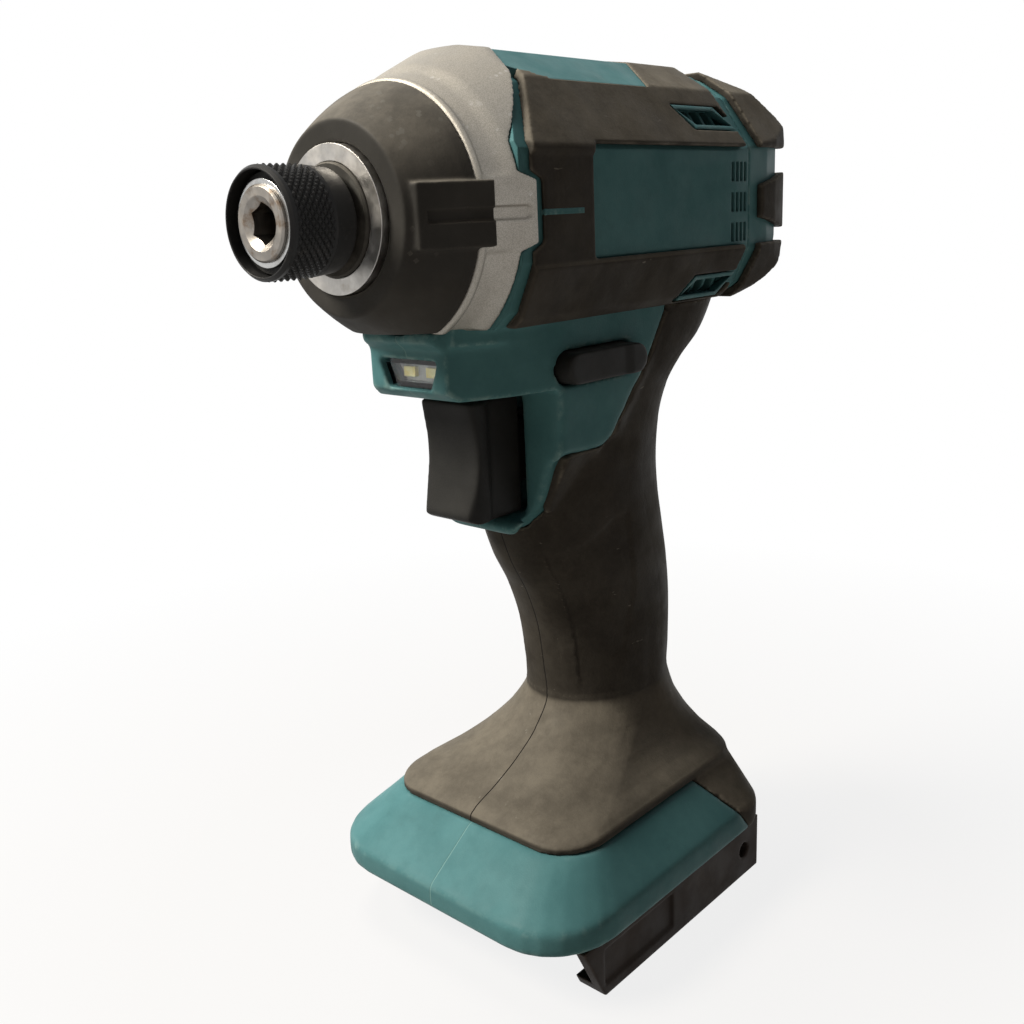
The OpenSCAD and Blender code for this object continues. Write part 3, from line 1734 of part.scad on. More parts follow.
housing_left();
housing_right();
grip_left();
grip_right();
rear_cover();
rear_bumper();
hammer_case();
case_cover();
nose_bumper();
anvil_bush();
anvil();
bit_balls();
bit_sleeve();
sleeve_spring();
sleeve_washer();
snap_ring();
hammer();
hammer_spring();
spring_washer();
spindle();
cam_balls();
planet_pins();
planet_gear_1();
planet_gear_2();
ring_gear();
bearing_plate();
spindle_bearing_outer();
spindle_bearing_inner();
front_bearing_outer();
front_bearing_inner();
rear_bearing_outer();
rear_bearing_inner();
motor_shaft();
pinion();
armature_core();
armature_windings();
commutator();
cooling_fan();
motor_yoke();
magnets();
brush_holder();
brushes();
brush_springs();
switch_body();
trigger();
trigger_spring();
direction_lever();
led_board();
leds();
led_lens();
rail_left();
rail_right();
terminal_block();
terminal_blades();
motor_leads();
battery_leads();
housing_screws();
cover_screws();
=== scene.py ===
# %% [markdown]
# # A worn impact driver
# This lesson dresses the solids of a cordless impact driver so that they look like the used tool.
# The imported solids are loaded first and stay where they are: they say how big every piece is and
# what it moves with. Each visible piece is then a copy of its solid with moulded edges, or a finer
# mesh made around the same sizes. Lengths of the pieces are written in millimetres and turned into
# metres by MM; the camera, the lamps, the finishes and the node trees are in metres.

# %% Load the frame
import math

import bmesh
import bpy
import numpy as np
from mathutils import Matrix, Vector
from mathutils.bvhtree import BVHTree


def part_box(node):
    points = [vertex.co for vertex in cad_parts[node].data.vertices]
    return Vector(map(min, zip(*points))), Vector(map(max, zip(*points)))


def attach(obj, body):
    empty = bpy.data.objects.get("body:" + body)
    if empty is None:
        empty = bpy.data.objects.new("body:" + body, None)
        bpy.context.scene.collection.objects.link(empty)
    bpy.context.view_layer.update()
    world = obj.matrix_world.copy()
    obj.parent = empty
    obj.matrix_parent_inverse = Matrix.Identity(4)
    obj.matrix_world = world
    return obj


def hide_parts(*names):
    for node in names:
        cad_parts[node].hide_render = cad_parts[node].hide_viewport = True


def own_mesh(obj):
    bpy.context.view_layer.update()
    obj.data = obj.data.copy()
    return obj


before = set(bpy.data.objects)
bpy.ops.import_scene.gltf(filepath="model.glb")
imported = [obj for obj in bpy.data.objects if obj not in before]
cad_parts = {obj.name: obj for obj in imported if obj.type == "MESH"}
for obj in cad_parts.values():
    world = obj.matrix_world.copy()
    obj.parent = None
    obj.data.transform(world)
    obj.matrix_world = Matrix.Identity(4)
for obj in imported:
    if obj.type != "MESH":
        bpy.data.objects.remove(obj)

MM = 0.001
scene = bpy.context.scene
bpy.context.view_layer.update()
AXIS_Z = 165.0

# %% [markdown]
# ## The camera
# The viewing angle was found by matching points of the tool with the same points of the picture.
# A camera is a matrix: its columns are what points right, up and back. Building it from azimuth,
# elevation and roll is clearer here than aiming an object, because the roll is not zero.

# %% Camera at the picture's angle
CAMERA_ANGLES = (42.78647, 15.31847, -2.61648)
CAMERA_X, CAMERA_Y, CAMERA_Z = 0.18297672, 0.16224981, 0.16523960
SENSOR, FOCAL_PIXELS, PICTURE_PIXELS = 36.0, 1097.8394, 1024
azimuth, elevation, roll = (math.radians(a) for a in CAMERA_ANGLES)
level = math.cos(elevation)
back = Vector((level * math.cos(azimuth), level * math.sin(azimuth), math.sin(elevation)))
right = Vector((0, 0, 1)).cross(back).normalized()
up = back.cross(right)
cam_right = math.cos(roll) * right + math.sin(roll) * up
cam_up = -math.sin(roll) * right + math.cos(roll) * up
camera = bpy.data.objects.new("camera", bpy.data.cameras.new("camera"))
camera.data.sensor_width = SENSOR
camera.data.lens = SENSOR * FOCAL_PIXELS / PICTURE_PIXELS
camera.data.clip_start = 0.01
camera.matrix_world = Matrix((
    (cam_right.x, cam_up.x, back.x, CAMERA_X),
    (cam_right.y, cam_up.y, back.y, CAMERA_Y),
    (cam_right.z, cam_up.z, back.z, CAMERA_Z),
    (0, 0, 0, 1),
))
scene.collection.objects.link(camera)
scene.camera = camera
print("lens", round(camera.data.lens, 2))

# %% [markdown]
# ## Light
# The tool is lit from the nose side and above, and its left flank falls into shade. One large area
# lamp gives that soft falloff, a second one rakes over the top, and a weak warm one stands for light
# thrown back by a table. The top lamp is hidden from reflections, so that the silver paint doesn't
# burn out.

# %% Lamps
LAMP_AIM, LAMP_SIZE = (0, 0, 0.12), 0.4


def softbox(name, place, colour, power):
    lamp = bpy.data.lights.new(name, "AREA")
    lamp.shape = "DISK"
    lamp.size = LAMP_SIZE
    lamp.energy = power
    lamp.color = colour
    holder = bpy.data.objects.new(name, lamp)
    holder.location = place
    holder.rotation_euler = (Vector(LAMP_AIM) - Vector(place)).to_track_quat("-Z", "Y").to_euler()
    scene.collection.objects.link(holder)
    return holder


softbox("key_softbox", (0.62, -0.42, 0.80), (1.0, 0.94, 0.84), 21.0)
softbox("top_softbox", (0.0, -0.30, 1.08), (1.0, 0.96, 0.90), 9.0).visible_glossy = False
softbox("low_softbox", (0.45, 0.75, 0.03), (1.0, 0.70, 0.58), 0.35)

# %% [markdown]
# ## World
# The world fills the shade with a weak soft light. Light Path tells apart what a ray is for: rays from
# the camera, from reflections and through the lens see plain white instead.

# %% World
SKY_SOFT = 0.05


def set_inputs(node, **values):
    """Set the sockets of a node by name; an underscore stands for a space."""
    for name, value in values.items():
        node.inputs[name.replace("_", " ")].default_value = value
    return node


def seen_rays(tree):
    """One for rays from the camera, from reflections and through glass."""
    ray = tree.nodes.new("ShaderNodeLightPath")
    total = ray.outputs["Is Camera Ray"]
    for name in ("Is Glossy Ray", "Is Transmission Ray"):
        plus = tree.nodes.new("ShaderNodeMath")
        plus.operation = "ADD"
        plus.use_clamp = True
        tree.links.new(total, plus.inputs[0])
        tree.links.new(ray.outputs[name], plus.inputs[1])
        total = plus.outputs[0]
    return total


scene.view_settings.view_transform = "Standard"
world = bpy.data.worlds.new("studio")
scene.world = world
world.use_nodes = True
sky = world.node_tree
sky.nodes.clear()
sky_out = sky.nodes.new("ShaderNodeOutputWorld")
sky_mix = sky.nodes.new("ShaderNodeMixShader")
sky_soft = set_inputs(sky.nodes.new("ShaderNodeBackground"), Color=(1, 0.98, 0.95, 1), Strength=SKY_SOFT)
sky_white = set_inputs(sky.nodes.new("ShaderNodeBackground"), Color=(1, 1, 1, 1), Strength=1.0)
sky.links.new(seen_rays(sky), sky_mix.inputs[0])
sky.links.new(sky_soft.outputs[0], sky_mix.inputs[1])
sky.links.new(sky_white.outputs[0], sky_mix.inputs[2])
sky.links.new(sky_mix.outputs[0], sky_out.inputs["Surface"])
print("world", world.name)

# %% [markdown]
# ## Floor
# A large sheet of pale paper. Around the tool it takes the shadow; further out it fades into the white
# of the world, so that no horizon shows.

# %% Floor
FLOOR_HALF = 4
FADE_NEAR, FADE_FAR, FADE_SHARE = 0.10, 0.30, 0.84
floor_mesh = bpy.data.meshes.new("floor")
corners = [(-1, -1), (1, -1), (1, 1), (-1, 1)]
floor_mesh.from_pydata([(x * FLOOR_HALF, y * FLOOR_HALF, 0) for x, y in corners], [], [(0, 1, 2, 3)])
floor = bpy.data.objects.new("floor", floor_mesh)
scene.collection.objects.link(floor)
floor_paint = bpy.data.materials.new("floor_paper")
floor_paint.use_nodes = True
paper = floor_paint.node_tree
paper_bsdf = paper.nodes["Principled BSDF"]
set_inputs(paper_bsdf, Base_Color=(0.34, 0.32, 0.30, 1), Roughness=0.9, Specular_IOR_Level=0.1)
paper_glow = set_inputs(paper.nodes.new("ShaderNodeEmission"), Color=(1, 1, 1, 1), Strength=1.0)
paper_mix = paper.nodes.new("ShaderNodeMixShader")
paper_place = paper.nodes.new("ShaderNodeTexCoord")
paper_far = paper.nodes.new("ShaderNodeVectorMath")
paper_far.operation = "LENGTH"
paper.links.new(paper_place.outputs["Object"], paper_far.inputs[0])
paper_fade = paper.nodes.new("ShaderNodeMapRange")
set_inputs(paper_fade, From_Min=FADE_NEAR, From_Max=FADE_FAR, To_Min=FADE_SHARE)
paper.links.new(paper_far.outputs["Value"], paper_fade.inputs["Value"])
paper_share = paper.nodes.new("ShaderNodeMath")
paper_share.operation = "MULTIPLY"
paper.links.new(paper_fade.outputs["Result"], paper_share.inputs[0])
paper.links.new(seen_rays(paper), paper_share.inputs[1])
paper.links.new(paper_share.outputs[0], paper_mix.inputs[0])
paper.links.new(paper_bsdf.outputs[0], paper_mix.inputs[1])
paper.links.new(paper_glow.outputs[0], paper_mix.inputs[2])
paper.links.new(paper_mix.outputs[0], paper.nodes["Material Output"].inputs["Surface"])
floor_mesh.materials.append(floor_paint)
print("floor", floor.name)

# %% [markdown]
# ## Small helpers for finishes
# Every finish starts from the Principled shader and reads Object coordinates, so the pattern stays
# on the piece when it moves. The helpers below only wire nodes: noise for grain and stains, a ramp
# to turn noise into patches, a mix for colours and a bump for the skin of the material.

# %% Finish helpers
class Finish:
    """A material with its Principled shader and the nodes that feed it."""

    def __init__(self, name, colour, roughness, metallic=0.0, specular=0.5):
        self.material = bpy.data.materials.new(name)
        self.material.use_nodes = True
        self.tree = self.material.node_tree
        self.shader = self.tree.nodes["Principled BSDF"]
        set_inputs(self.shader, Base_Color=(*colour, 1), Roughness=roughness)
        set_inputs(self.shader, Metallic=metallic, Specular_IOR_Level=specular)
        self.place = self.tree.nodes.new("ShaderNodeTexCoord").outputs["Object"]
        self.material.diffuse_color = (*colour, 1)

    def node(self, kind):
        return self.tree.nodes.new(kind)

    def link(self, a, b):
        self.tree.links.new(a, b)

    def stretched(self, scale):
        mapping = self.node("ShaderNodeMapping")
        mapping.inputs["Scale"].default_value = scale
        self.link(self.place, mapping.inputs["Vector"])
        return mapping.outputs["Vector"]

    def noise(self, scale, detail=4.0, roughness=0.55, place=None):
        n = set_inputs(self.node("ShaderNodeTexNoise"), Scale=scale, Detail=detail, Roughness=roughness)
        self.link(place or self.place, n.inputs["Vector"])
        return n.outputs["Fac"]

    def voronoi(self, scale):
        n = set_inputs(self.node("ShaderNodeTexVoronoi"), Scale=scale)
        self.link(self.place, n.inputs["Vector"])
        return n.outputs["Distance"]

    def ramp(self, value, low, high, dark=0.0, light=1.0):
        n = self.node("ShaderNodeMapRange")
        n.interpolation_type = "SMOOTHSTEP"
        set_inputs(n, From_Min=low, From_Max=high, To_Min=dark, To_Max=light)
        self.link(value, n.inputs["Value"])
        return n.outputs["Result"]

    def math(self, operation, a, b):
        n = self.node("ShaderNodeMath")
        n.operation = operation
        for value, socket in ((a, n.inputs[0]), (b, n.inputs[1])):
            if isinstance(value, (int, float)):
                socket.default_value = value
            else:
                self.link(value, socket)
        return n.outputs[0]

    def mix(self, share, a, b):
        n = self.node("ShaderNodeMix")
        n.data_type = "RGBA"
        self.link(share, n.inputs[0])
        for value, socket in ((a, n.inputs[6]), (b, n.inputs[7])):
            if isinstance(value, tuple):
                socket.default_value = (*value, 1)
            else:
                self.link(value, socket)
        return n.outputs[2]

    def bump(self, height, strength, distance, below=None):
        n = set_inputs(self.node("ShaderNodeBump"), Strength=strength, Distance=distance)
        self.link(height, n.inputs["Height"])
        if below is not None:
            self.link(below, n.inputs["Normal"])
        return n.outputs["Normal"]

    def soft_edges(self, radius):
        n = self.node("ShaderNodeBevel")
        n.samples = 6
        n.inputs["Radius"].default_value = radius
        return n.outputs["Normal"]

    def edges(self, low, high):
        return self.ramp(self.node("ShaderNodeNewGeometry").outputs["Pointiness"], low, high)

    def facing_up(self, low, high):
        normal = self.node("ShaderNodeTexCoord").outputs["Normal"]
        split = self.node("ShaderNodeSeparateXYZ")
        self.link(normal, split.inputs[0])
        return self.ramp(split.outputs["Z"], low, high)

    def split_line(self, half_width):
        split = self.node("ShaderNodeSeparateXYZ")
        self.link(self.place, split.inputs[0])
        return self.ramp(self.math("ABSOLUTE", split.outputs["Y"], 0.0), half_width, 2 * half_width)

    def colour(self, socket):
        self.link(socket, self.shader.inputs["Base Color"])

    def rough(self, socket):
        self.link(socket, self.shader.inputs["Roughness"])

    def normal(self, socket):
        self.link(socket, self.shader.inputs["Normal"])


print("finish helper ready")

# %% [markdown]
# ## Teal moulded plastic
# The shells are glass-filled plastic with a fine eroded grain. Years of use leave paler scuffs, rubbed
# edges and faint patches of dirt. Noise at two scales gives grain and cloudiness, pointiness finds the
# edges, and a thin line on the middle plane is the joint of the two shells; its pale colour is a painted
# highlight along the groove of the joint. A crisp kind is for
# pieces that keep the exact faces of their solid: the Bevel node rounds the look of their edges.

# %% Teal plastic
def teal_plastic(name, edge_radius):
    f = Finish(name, (0.052, 0.138, 0.148), 0.5, specular=0.06)
    cloud = f.ramp(f.noise(90, 7, 0.65), 0.3, 0.7)
    body = f.mix(cloud, (0.046, 0.122, 0.131), (0.060, 0.150, 0.160))
    scuff = f.ramp(f.noise(190, 9, 0.75, f.stretched((1, 1, 2.6))), 0.62, 0.76, 0.0, 0.35)
    body = f.mix(scuff, body, (0.125, 0.215, 0.215))
    if not edge_radius:
        rubbed = f.ramp(f.noise(210, 8, 0.7), 0.45, 0.62, 0.0, 0.6)
        wear = f.math("MULTIPLY", f.edges(0.506, 0.53), rubbed)
        body = f.mix(wear, body, (0.16, 0.26, 0.26))
    dirt = f.ramp(f.noise(60, 9, 0.72), 0.54, 0.78, 0.0, 0.4)
    body = f.mix(dirt, body, (0.026, 0.062, 0.062))
    # The joint line is a real groove, painted pale as a painted highlight along its edge.
    joint = f.split_line(0.0001)
    body = f.mix(joint, (0.105, 0.205, 0.205), body)
    f.colour(body)
    f.rough(f.ramp(f.noise(130, 6), 0.3, 0.75, 0.40, 0.60))
    first = f.soft_edges(edge_radius) if edge_radius else None
    skin = f.bump(f.noise(2600, 2), 0.16, 0.0002, first)
    skin = f.bump(f.noise(300, 5), 0.10, 0.0003, skin)
    f.normal(f.bump(joint, 0.6, 0.0003, skin))
    return f.material


teal = teal_plastic("teal_plastic", 0)
teal_crisp = teal_plastic("teal_plastic_crisp", 0.0007)
print("finish", teal.name, teal_crisp.name)

# %% [markdown]
# ## Soft overmould
# The grip is a soft brown-grey elastomer. It is the dustiest part of the tool: pale dust lies on
# faces that look up, and the same pale film is also painted light, a painted highlight on the tops.
# Handling polishes the edges, and short scratches run across it. A matt base with
# a low specular keeps it rubbery.

# %% Overmould
def overmould(name):
    f = Finish(name, (0.030, 0.0265, 0.022), 0.62, specular=0.04)
    cloud = f.ramp(f.noise(70, 8, 0.7), 0.3, 0.7)
    body = f.mix(cloud, (0.023, 0.020, 0.0165), (0.041, 0.037, 0.031))
    # Faces that look up are paled: partly dust, partly painted light on the tops.
    film = f.math("MULTIPLY", f.facing_up(0.0, 0.5), f.ramp(f.noise(85, 10, 0.75), 0.30, 0.72, 0.35, 0.8))
    body = f.mix(film, body, (0.140, 0.126, 0.102))
    smear = f.ramp(f.noise(120, 10, 0.78, f.stretched((1, 1, 0.45))), 0.56, 0.78, 0.0, 0.35)
    body = f.mix(smear, body, (0.095, 0.088, 0.073))
    wear = f.math("MULTIPLY", f.edges(0.515, 0.57), f.ramp(f.noise(120, 6), 0.38, 0.66, 0.1, 0.65))
    body = f.mix(wear, body, (0.155, 0.143, 0.120))
    nick = f.ramp(f.noise(420, 3, 0.6, f.stretched((0.35, 1, 1.4))), 0.70, 0.76, 0.0, 0.55)
    body = f.mix(nick, body, (0.17, 0.16, 0.14))
    joint = f.split_line(0.0001)
    body = f.mix(joint, (0.010, 0.009, 0.008), body)
    f.colour(body)
    f.rough(f.ramp(f.noise(90, 6), 0.3, 0.72, 0.50, 0.72))
    skin = f.bump(f.noise(2100, 2), 0.22, 0.0002)
    skin = f.bump(f.noise(240, 6, 0.65), 0.14, 0.0004, skin)
    skin = f.bump(nick, -0.25, 0.0002, skin)
    f.normal(f.bump(joint, 0.5, 0.0003, skin))
    return f.material


soft_skin = overmould("soft_overmould")
print("finish", soft_skin.name)

# %% [markdown]
# ## Nose rubber and dark plastics
# The nose bumper is a smoother black rubber that has rubbed grey on its proud edges and holds dust on
# the faces that look up. Trigger, lever and rails are plastics of the same kind with less dust. They
# differ in a few colours and shares only, so one function makes all three.

# %% Nose rubber and trigger plastic
def dark_moulding(name, dark, pale, rough_low, rough_high, grain, dust_share=0.1):
    f = Finish(name, dark, rough_low, specular=0.07)
    body = f.mix(f.ramp(f.noise(60, 6), 0.35, 0.7), dark, tuple(1.5 * c for c in dark))
    smear = f.ramp(f.noise(70, 9, 0.72, f.stretched((1, 1, 0.5))), 0.58, 0.78, 0.0, 0.4)
    body = f.mix(smear, body, pale)
    dust = f.ramp(f.noise(80, 10, 0.75), 0.3, 0.7, 0.3 * dust_share, dust_share)
    film = f.math("MULTIPLY", f.facing_up(0.0, 0.9), dust)
    body = f.mix(film, body, (0.140, 0.128, 0.108))
    wear = f.math("MULTIPLY", f.edges(0.52, 0.57), f.ramp(f.noise(170, 6), 0.4, 0.65, 0.1, 0.5))
    body = f.mix(wear, body, tuple(1.4 * c for c in pale))
    f.colour(body)
    f.rough(f.ramp(f.noise(110, 6), 0.3, 0.72, rough_low, rough_high))
    skin = f.bump(f.noise(grain, 2), 0.15, 0.00015)
    f.normal(f.bump(f.noise(320, 6), 0.10, 0.0003, skin))
    return f.material


nose_rubber = dark_moulding(
    "nose_rubber", (0.024, 0.023, 0.021), (0.075, 0.073, 0.066), 0.50, 0.70, 2600, dust_share=0.75
)
black_plastic = dark_moulding(
    "black_plastic", (0.013, 0.013, 0.0125), (0.035, 0.035, 0.034), 0.40, 0.60, 3000
)
rail_plastic = dark_moulding(
    "rail_plastic", (0.020, 0.015, 0.012), (0.070, 0.055, 0.043), 0.45, 0.65, 2600
)
print("finish", nose_rubber.name, black_plastic.name, rail_plastic.name)

# %% [markdown]
# ## Silver paint
# The cover wears a metallic paint. Its flakes are a Voronoi pattern far smaller than the piece, which
# mixes two greys and lifts the skin a little. Stains are broad noise, and rubbed edges are paler.

# %% Silver paint
def silver_paint():
    f = Finish("silver_paint", (0.27, 0.255, 0.225), 0.5, metallic=0.7, specular=0.2)
    flakes = f.ramp(f.voronoi(5200), 0.15, 0.75)
    body = f.mix(flakes, (0.34, 0.32, 0.285), (0.25, 0.235, 0.205))
    stain = f.ramp(f.noise(38, 8, 0.7), 0.54, 0.76, 0.0, 0.5)
    body = f.mix(stain, body, (0.16, 0.14, 0.115))
    wear = f.math("MULTIPLY", f.edges(0.52, 0.57), f.ramp(f.noise(220, 6), 0.45, 0.68, 0.0, 0.7))
    body = f.mix(wear, body, (0.46, 0.45, 0.43))
    f.colour(body)
    f.rough(f.ramp(f.noise(120, 6), 0.3, 0.7, 0.45, 0.62))
    skin = f.bump(flakes, 0.10, 0.0001)
    f.normal(f.bump(f.noise(420, 5), 0.07, 0.0003, skin))
    return f.material


silver = silver_paint()
print("finish", silver.name)

# %% [markdown]
# ## Bare metals
# Bare metal keeps its colour in the Metallic shader. Stretched noise draws the turning marks, a second
# noise stains it brown, and Voronoi cells where they are deepest become small pits. Each line below
# gives the colour, the stain and its share, the range of roughness and the stretch of the marks.

# %% Metals
def metal(name, colour, stain, stain_share, rough_low, rough_high, marks=(1, 1, 1), mark_scale=500):
    f = Finish(name, colour, rough_low, metallic=1.0)
    lines = f.noise(mark_scale, 4, 0.6, f.stretched(marks))
    body = f.mix(f.ramp(lines, 0.3, 0.72), tuple(0.78 * c for c in colour), colour)
    spots = f.ramp(f.noise(230, 8, 0.68), 0.52, 0.68, 0.0, stain_share)
    body = f.mix(spots, body, stain)
    pits = f.ramp(f.voronoi(900), 0.05, 0.16, 0.7, 0.0)
    pits = f.math("MULTIPLY", pits, f.ramp(f.noise(160, 4), 0.55, 0.65))
    body = f.mix(pits, body, tuple(0.35 * c for c in stain))
    f.colour(body)
    f.rough(f.ramp(f.noise(260, 6), 0.3, 0.72, rough_low, rough_high))
    skin = f.bump(lines, 0.12, 0.0001, f.soft_edges(0.0002))
    f.normal(f.bump(pits, -0.4, 0.0002, skin))
    return f.material


ring_metal = metal("turned_ring", (0.46, 0.44, 0.41), (0.20, 0.17, 0.13), 0.45, 0.28, 0.48, (6, 1, 1), 420)
worn_steel = metal("worn_steel", (0.27, 0.25, 0.225), (0.13, 0.085, 0.05), 0.85, 0.30, 0.55, (4, 1, 1), 420)
bright_steel = metal("bright_steel", (0.56, 0.56, 0.55), (0.30, 0.28, 0.25), 0.3, 0.18, 0.34)
spring_wire = metal("spring_wire", (0.45, 0.45, 0.46), (0.22, 0.18, 0.14), 0.3, 0.25, 0.4)
gear_steel = metal("gear_steel", (0.42, 0.40, 0.36), (0.16, 0.11, 0.05), 0.6, 0.3, 0.5)
sheet_steel = metal("sheet_steel", (0.36, 0.36, 0.37), (0.18, 0.15, 0.12), 0.3, 0.3, 0.5, (60, 1, 1), 300)
copper = metal("copper", (0.62, 0.27, 0.13), (0.25, 0.10, 0.05), 0.4, 0.28, 0.5, (60, 1, 1), 300)
bronze = metal("bronze", (0.50, 0.34, 0.16), (0.22, 0.13, 0.06), 0.5, 0.35, 0.55)
magnet_grey = metal("magnet_grey", (0.10, 0.10, 0.10), (0.05, 0.05, 0.05), 0.4, 0.5, 0.7)
metals = (
    ring_metal, worn_steel, bright_steel, spring_wire, gear_steel, sheet_steel, copper, bronze, magnet_grey
)
print("metals", ", ".join(m.name for m in metals))

# %% [markdown]
# ## Black oxide
# The pull sleeve and the screws are blackened steel. The black layer is thin and rubs off in spots, so
# noise lets a paler grey through.

# %% Black oxide
def black_oxide():
    f = Finish("black_oxide", (0.012, 0.012, 0.012), 0.42, specular=0.15)
    rubbed = f.ramp(f.noise(340, 8, 0.7), 0.55, 0.75, 0.0, 0.5)
    body = f.mix(rubbed, (0.010, 0.010, 0.010), (0.055, 0.053, 0.050))
    dust = f.ramp(f.noise(90, 8, 0.7), 0.58, 0.76, 0.0, 0.25)
    f.colour(f.mix(dust, body, (0.060, 0.055, 0.048)))
    f.rough(f.ramp(f.noise(150, 6), 0.3, 0.72, 0.34, 0.55))
    f.normal(f.bump(f.noise(900, 4), 0.08, 0.0001, f.soft_edges(0.00015)))
    return f.material


oxide = black_oxide()
print("finish", oxide.name)

# %% [markdown]
# ## Lens, lamp and wire
# The lens is clear plastic: full transmission with a slightly scratched skin. The small inner pieces
# only need a colour that isn't quite even.

# %% Lens, lamp and wire
def clear_lens():
    f = Finish("clear_lens", (0.93, 0.95, 0.95), 0.06)
    set_inputs(f.shader, Transmission_Weight=1.0, IOR=1.46)
    f.rough(f.ramp(f.noise(260, 6), 0.4, 0.75, 0.03, 0.20))
    f.normal(f.bump(f.noise(500, 4), 0.05, 0.0001))
    return f.material


def plain_moulding(name, colour, pale, roughness):
    f = Finish(name, colour, roughness)
    f.colour(f.mix(f.ramp(f.noise(400, 6), 0.35, 0.7), colour, pale))
    f.rough(f.ramp(f.noise(300, 5), 0.3, 0.7, 0.8 * roughness, 1.2 * roughness))
    f.normal(f.bump(f.noise(2400, 3), 0.12, 0.0001))
    return f.material


lens_clear = clear_lens()
lamp_yellow = plain_moulding("lamp_phosphor", (0.80, 0.66, 0.20), (0.88, 0.80, 0.42), 0.35)
lamp_tray = plain_moulding("lamp_tray", (0.34, 0.34, 0.32), (0.46, 0.46, 0.44), 0.3)
wire_red = plain_moulding("wire_red", (0.40, 0.03, 0.03), (0.48, 0.05, 0.05), 0.45)
carbon = plain_moulding("carbon", (0.02, 0.02, 0.02), (0.035, 0.035, 0.035), 0.6)
print("small finishes", ", ".join(m.name for m in (lens_clear, lamp_yellow, lamp_tray, wire_red, carbon)))

# %% [markdown]
# ## Copies with moulded edges
# A moulded part has no sharp edge. A solid from CAD does, so each visible piece is a copy of its
# solid that is remeshed into small even faces and then relaxed, which rounds all edges by about two
# voxels. A bevel modifier could do the same on simple shapes, but it tangles where many cuts meet.
# Where the two halves of a shell meet, their joint faces are left out, so that they become one skin.

# %% Copy helpers
SAME_POINT = 2e-6


def show(name, mesh, material, body, nodes, smooth=True):
    piece = bpy.data.objects.new(name, mesh)
    scene.collection.objects.link(piece)
    mesh.materials.clear()
    mesh.materials.append(material)
    if smooth:
        mesh.shade_smooth()
    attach(piece, body)
    if nodes:
        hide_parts(*nodes)
    print(name, "faces", len(mesh.polygons))
    return piece


def below(z):
    """Cut that keeps what lies below a height."""
    return (0, 0, z), (0, 0, 1)


def above(z):
    """Cut that keeps what lies above a height."""
    return (0, 0, z), (0, 0, -1)


def solid_copy(nodes, cuts=(), drop_joint=False):
    """Merged copy of some nodes, cut at some heights, with or without the faces of the joint."""
    bm = bmesh.new()
    for node in nodes:
        bm.from_mesh(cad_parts[node].data)
    bmesh.ops.remove_doubles(bm, verts=bm.verts, dist=SAME_POINT)
    if drop_joint:
        flat = [f for f in bm.faces if all(abs(v.co.y) < SAME_POINT for v in f.verts)]
        bmesh.ops.delete(bm, geom=flat, context="FACES")
    for place, away in cuts:
        everything = bm.verts[:] + bm.edges[:] + bm.faces[:]
        done = bmesh.ops.bisect_plane(
            bm, geom=everything, plane_co=[p * MM for p in place], plane_no=away, clear_outer=True
        )
        rim = [e for e in done["geom_cut"] if isinstance(e, bmesh.types.BMEdge)]
        bmesh.ops.holes_fill(bm, edges=rim, sides=0)
    mesh = bpy.data.meshes.new("copy")
    bm.to_mesh(mesh)
    bm.free()
    return mesh


def moulded(mesh, voxel, passes):
    """Even small faces, then relaxed: every edge gets a soft radius. No voxel keeps the faces."""
    holder = bpy.data.objects.new("holder", mesh)
    scene.collection.objects.link(holder)
    if voxel:
        remesh = holder.modifiers.new("remesh", "REMESH")
        remesh.mode = "VOXEL"
        remesh.voxel_size = voxel * MM
    holder.modifiers.new("relax", "SMOOTH").iterations = passes
    ready = holder.evaluated_get(bpy.context.evaluated_depsgraph_get())
    result = bpy.data.meshes.new_from_object(ready)
    bpy.data.objects.remove(holder)
    return result


def points_of(mesh):
    points = np.empty(len(mesh.vertices) * 3)
    mesh.vertices.foreach_get("co", points)
    return points.reshape(-1, 3) / MM


def move_points(mesh, points):
    mesh.vertices.foreach_set("co", (points * MM).ravel())
    mesh.update()


def step(value, low, high):
    """Smooth rise from nothing to one between two places."""
    t = np.clip((value - low) / (high - low), 0, 1)
    return t * t * (3 - 2 * t)


print("copy helpers ready")

# %% [markdown]
# ## Handle
# The handle solid is lofted through a few sections, so its sides are flat facets. The same section
# sizes drive a smooth curve here: each point of the copy keeps its place within its section while the
# section itself moves from the straight loft to the curve, and the corner arcs are pushed out from
# their chords. That gives a handle without facets that still fills the solid.

# %% Smooth sections
FLANGE_Z, HANDLE_RISE, HANDLE_DEPTH, HANDLE_HALF = 30.0, 112.0, 48.0, 17.0
FOOT_BACK, FOOT_FRONT, FOOT_HALF = -43.0, 40.4, 38.7
FLARE_SHARE, GRIP_CORNER = 0.195, 0.97
ARC_STEP, ARC_BASE, RIM_SHARE, RIM_RUN = 15, 33, 0.85, 0.1
CURVE_BASE, CURVE_TOP = 30.5, 144.5
flare_shares = [
    (0, 0.985, 0.655, 0.77, 0.36), (0.07, 0.985, 0.655, 0.77, 0.36), (0.13, 0.99, 0.62, 0.74, 0.40),
    (0.26, 0.99, 0.44, 0.64, 0.52), (0.44, 0.985, 0.24, 0.545, 0.68), (0.68, 0.975, 0.06, 0.465, 0.85),
]
grip_shares = [
    (0.195, -0.867, -0.042, 0.94), (0.26, -0.883, -0.025, 0.95), (0.35, -0.888, 0.004, 0.97),
    (0.44, -0.875, 0.075, 0.99), (0.53, -0.846, 0.19, 1), (0.62, -0.812, 0.26, 1), (0.69, -0.80, 0.28, 1.01),
    (0.765, -0.812, 0.27, 1.035), (0.837, -0.865, 0.20, 1.07), (0.89, -0.958, 0.06, 1.11),
    (0.946, -1.125, -0.062, 1.165), (1.03, -1.27, -0.125, 1.22),
]
flare = [
    (FLANGE_Z + z * FLARE_SHARE * HANDLE_RISE, back * FOOT_BACK, front * FOOT_FRONT, half * FOOT_HALF, corner)
    for z, back, front, half, corner in flare_shares
]
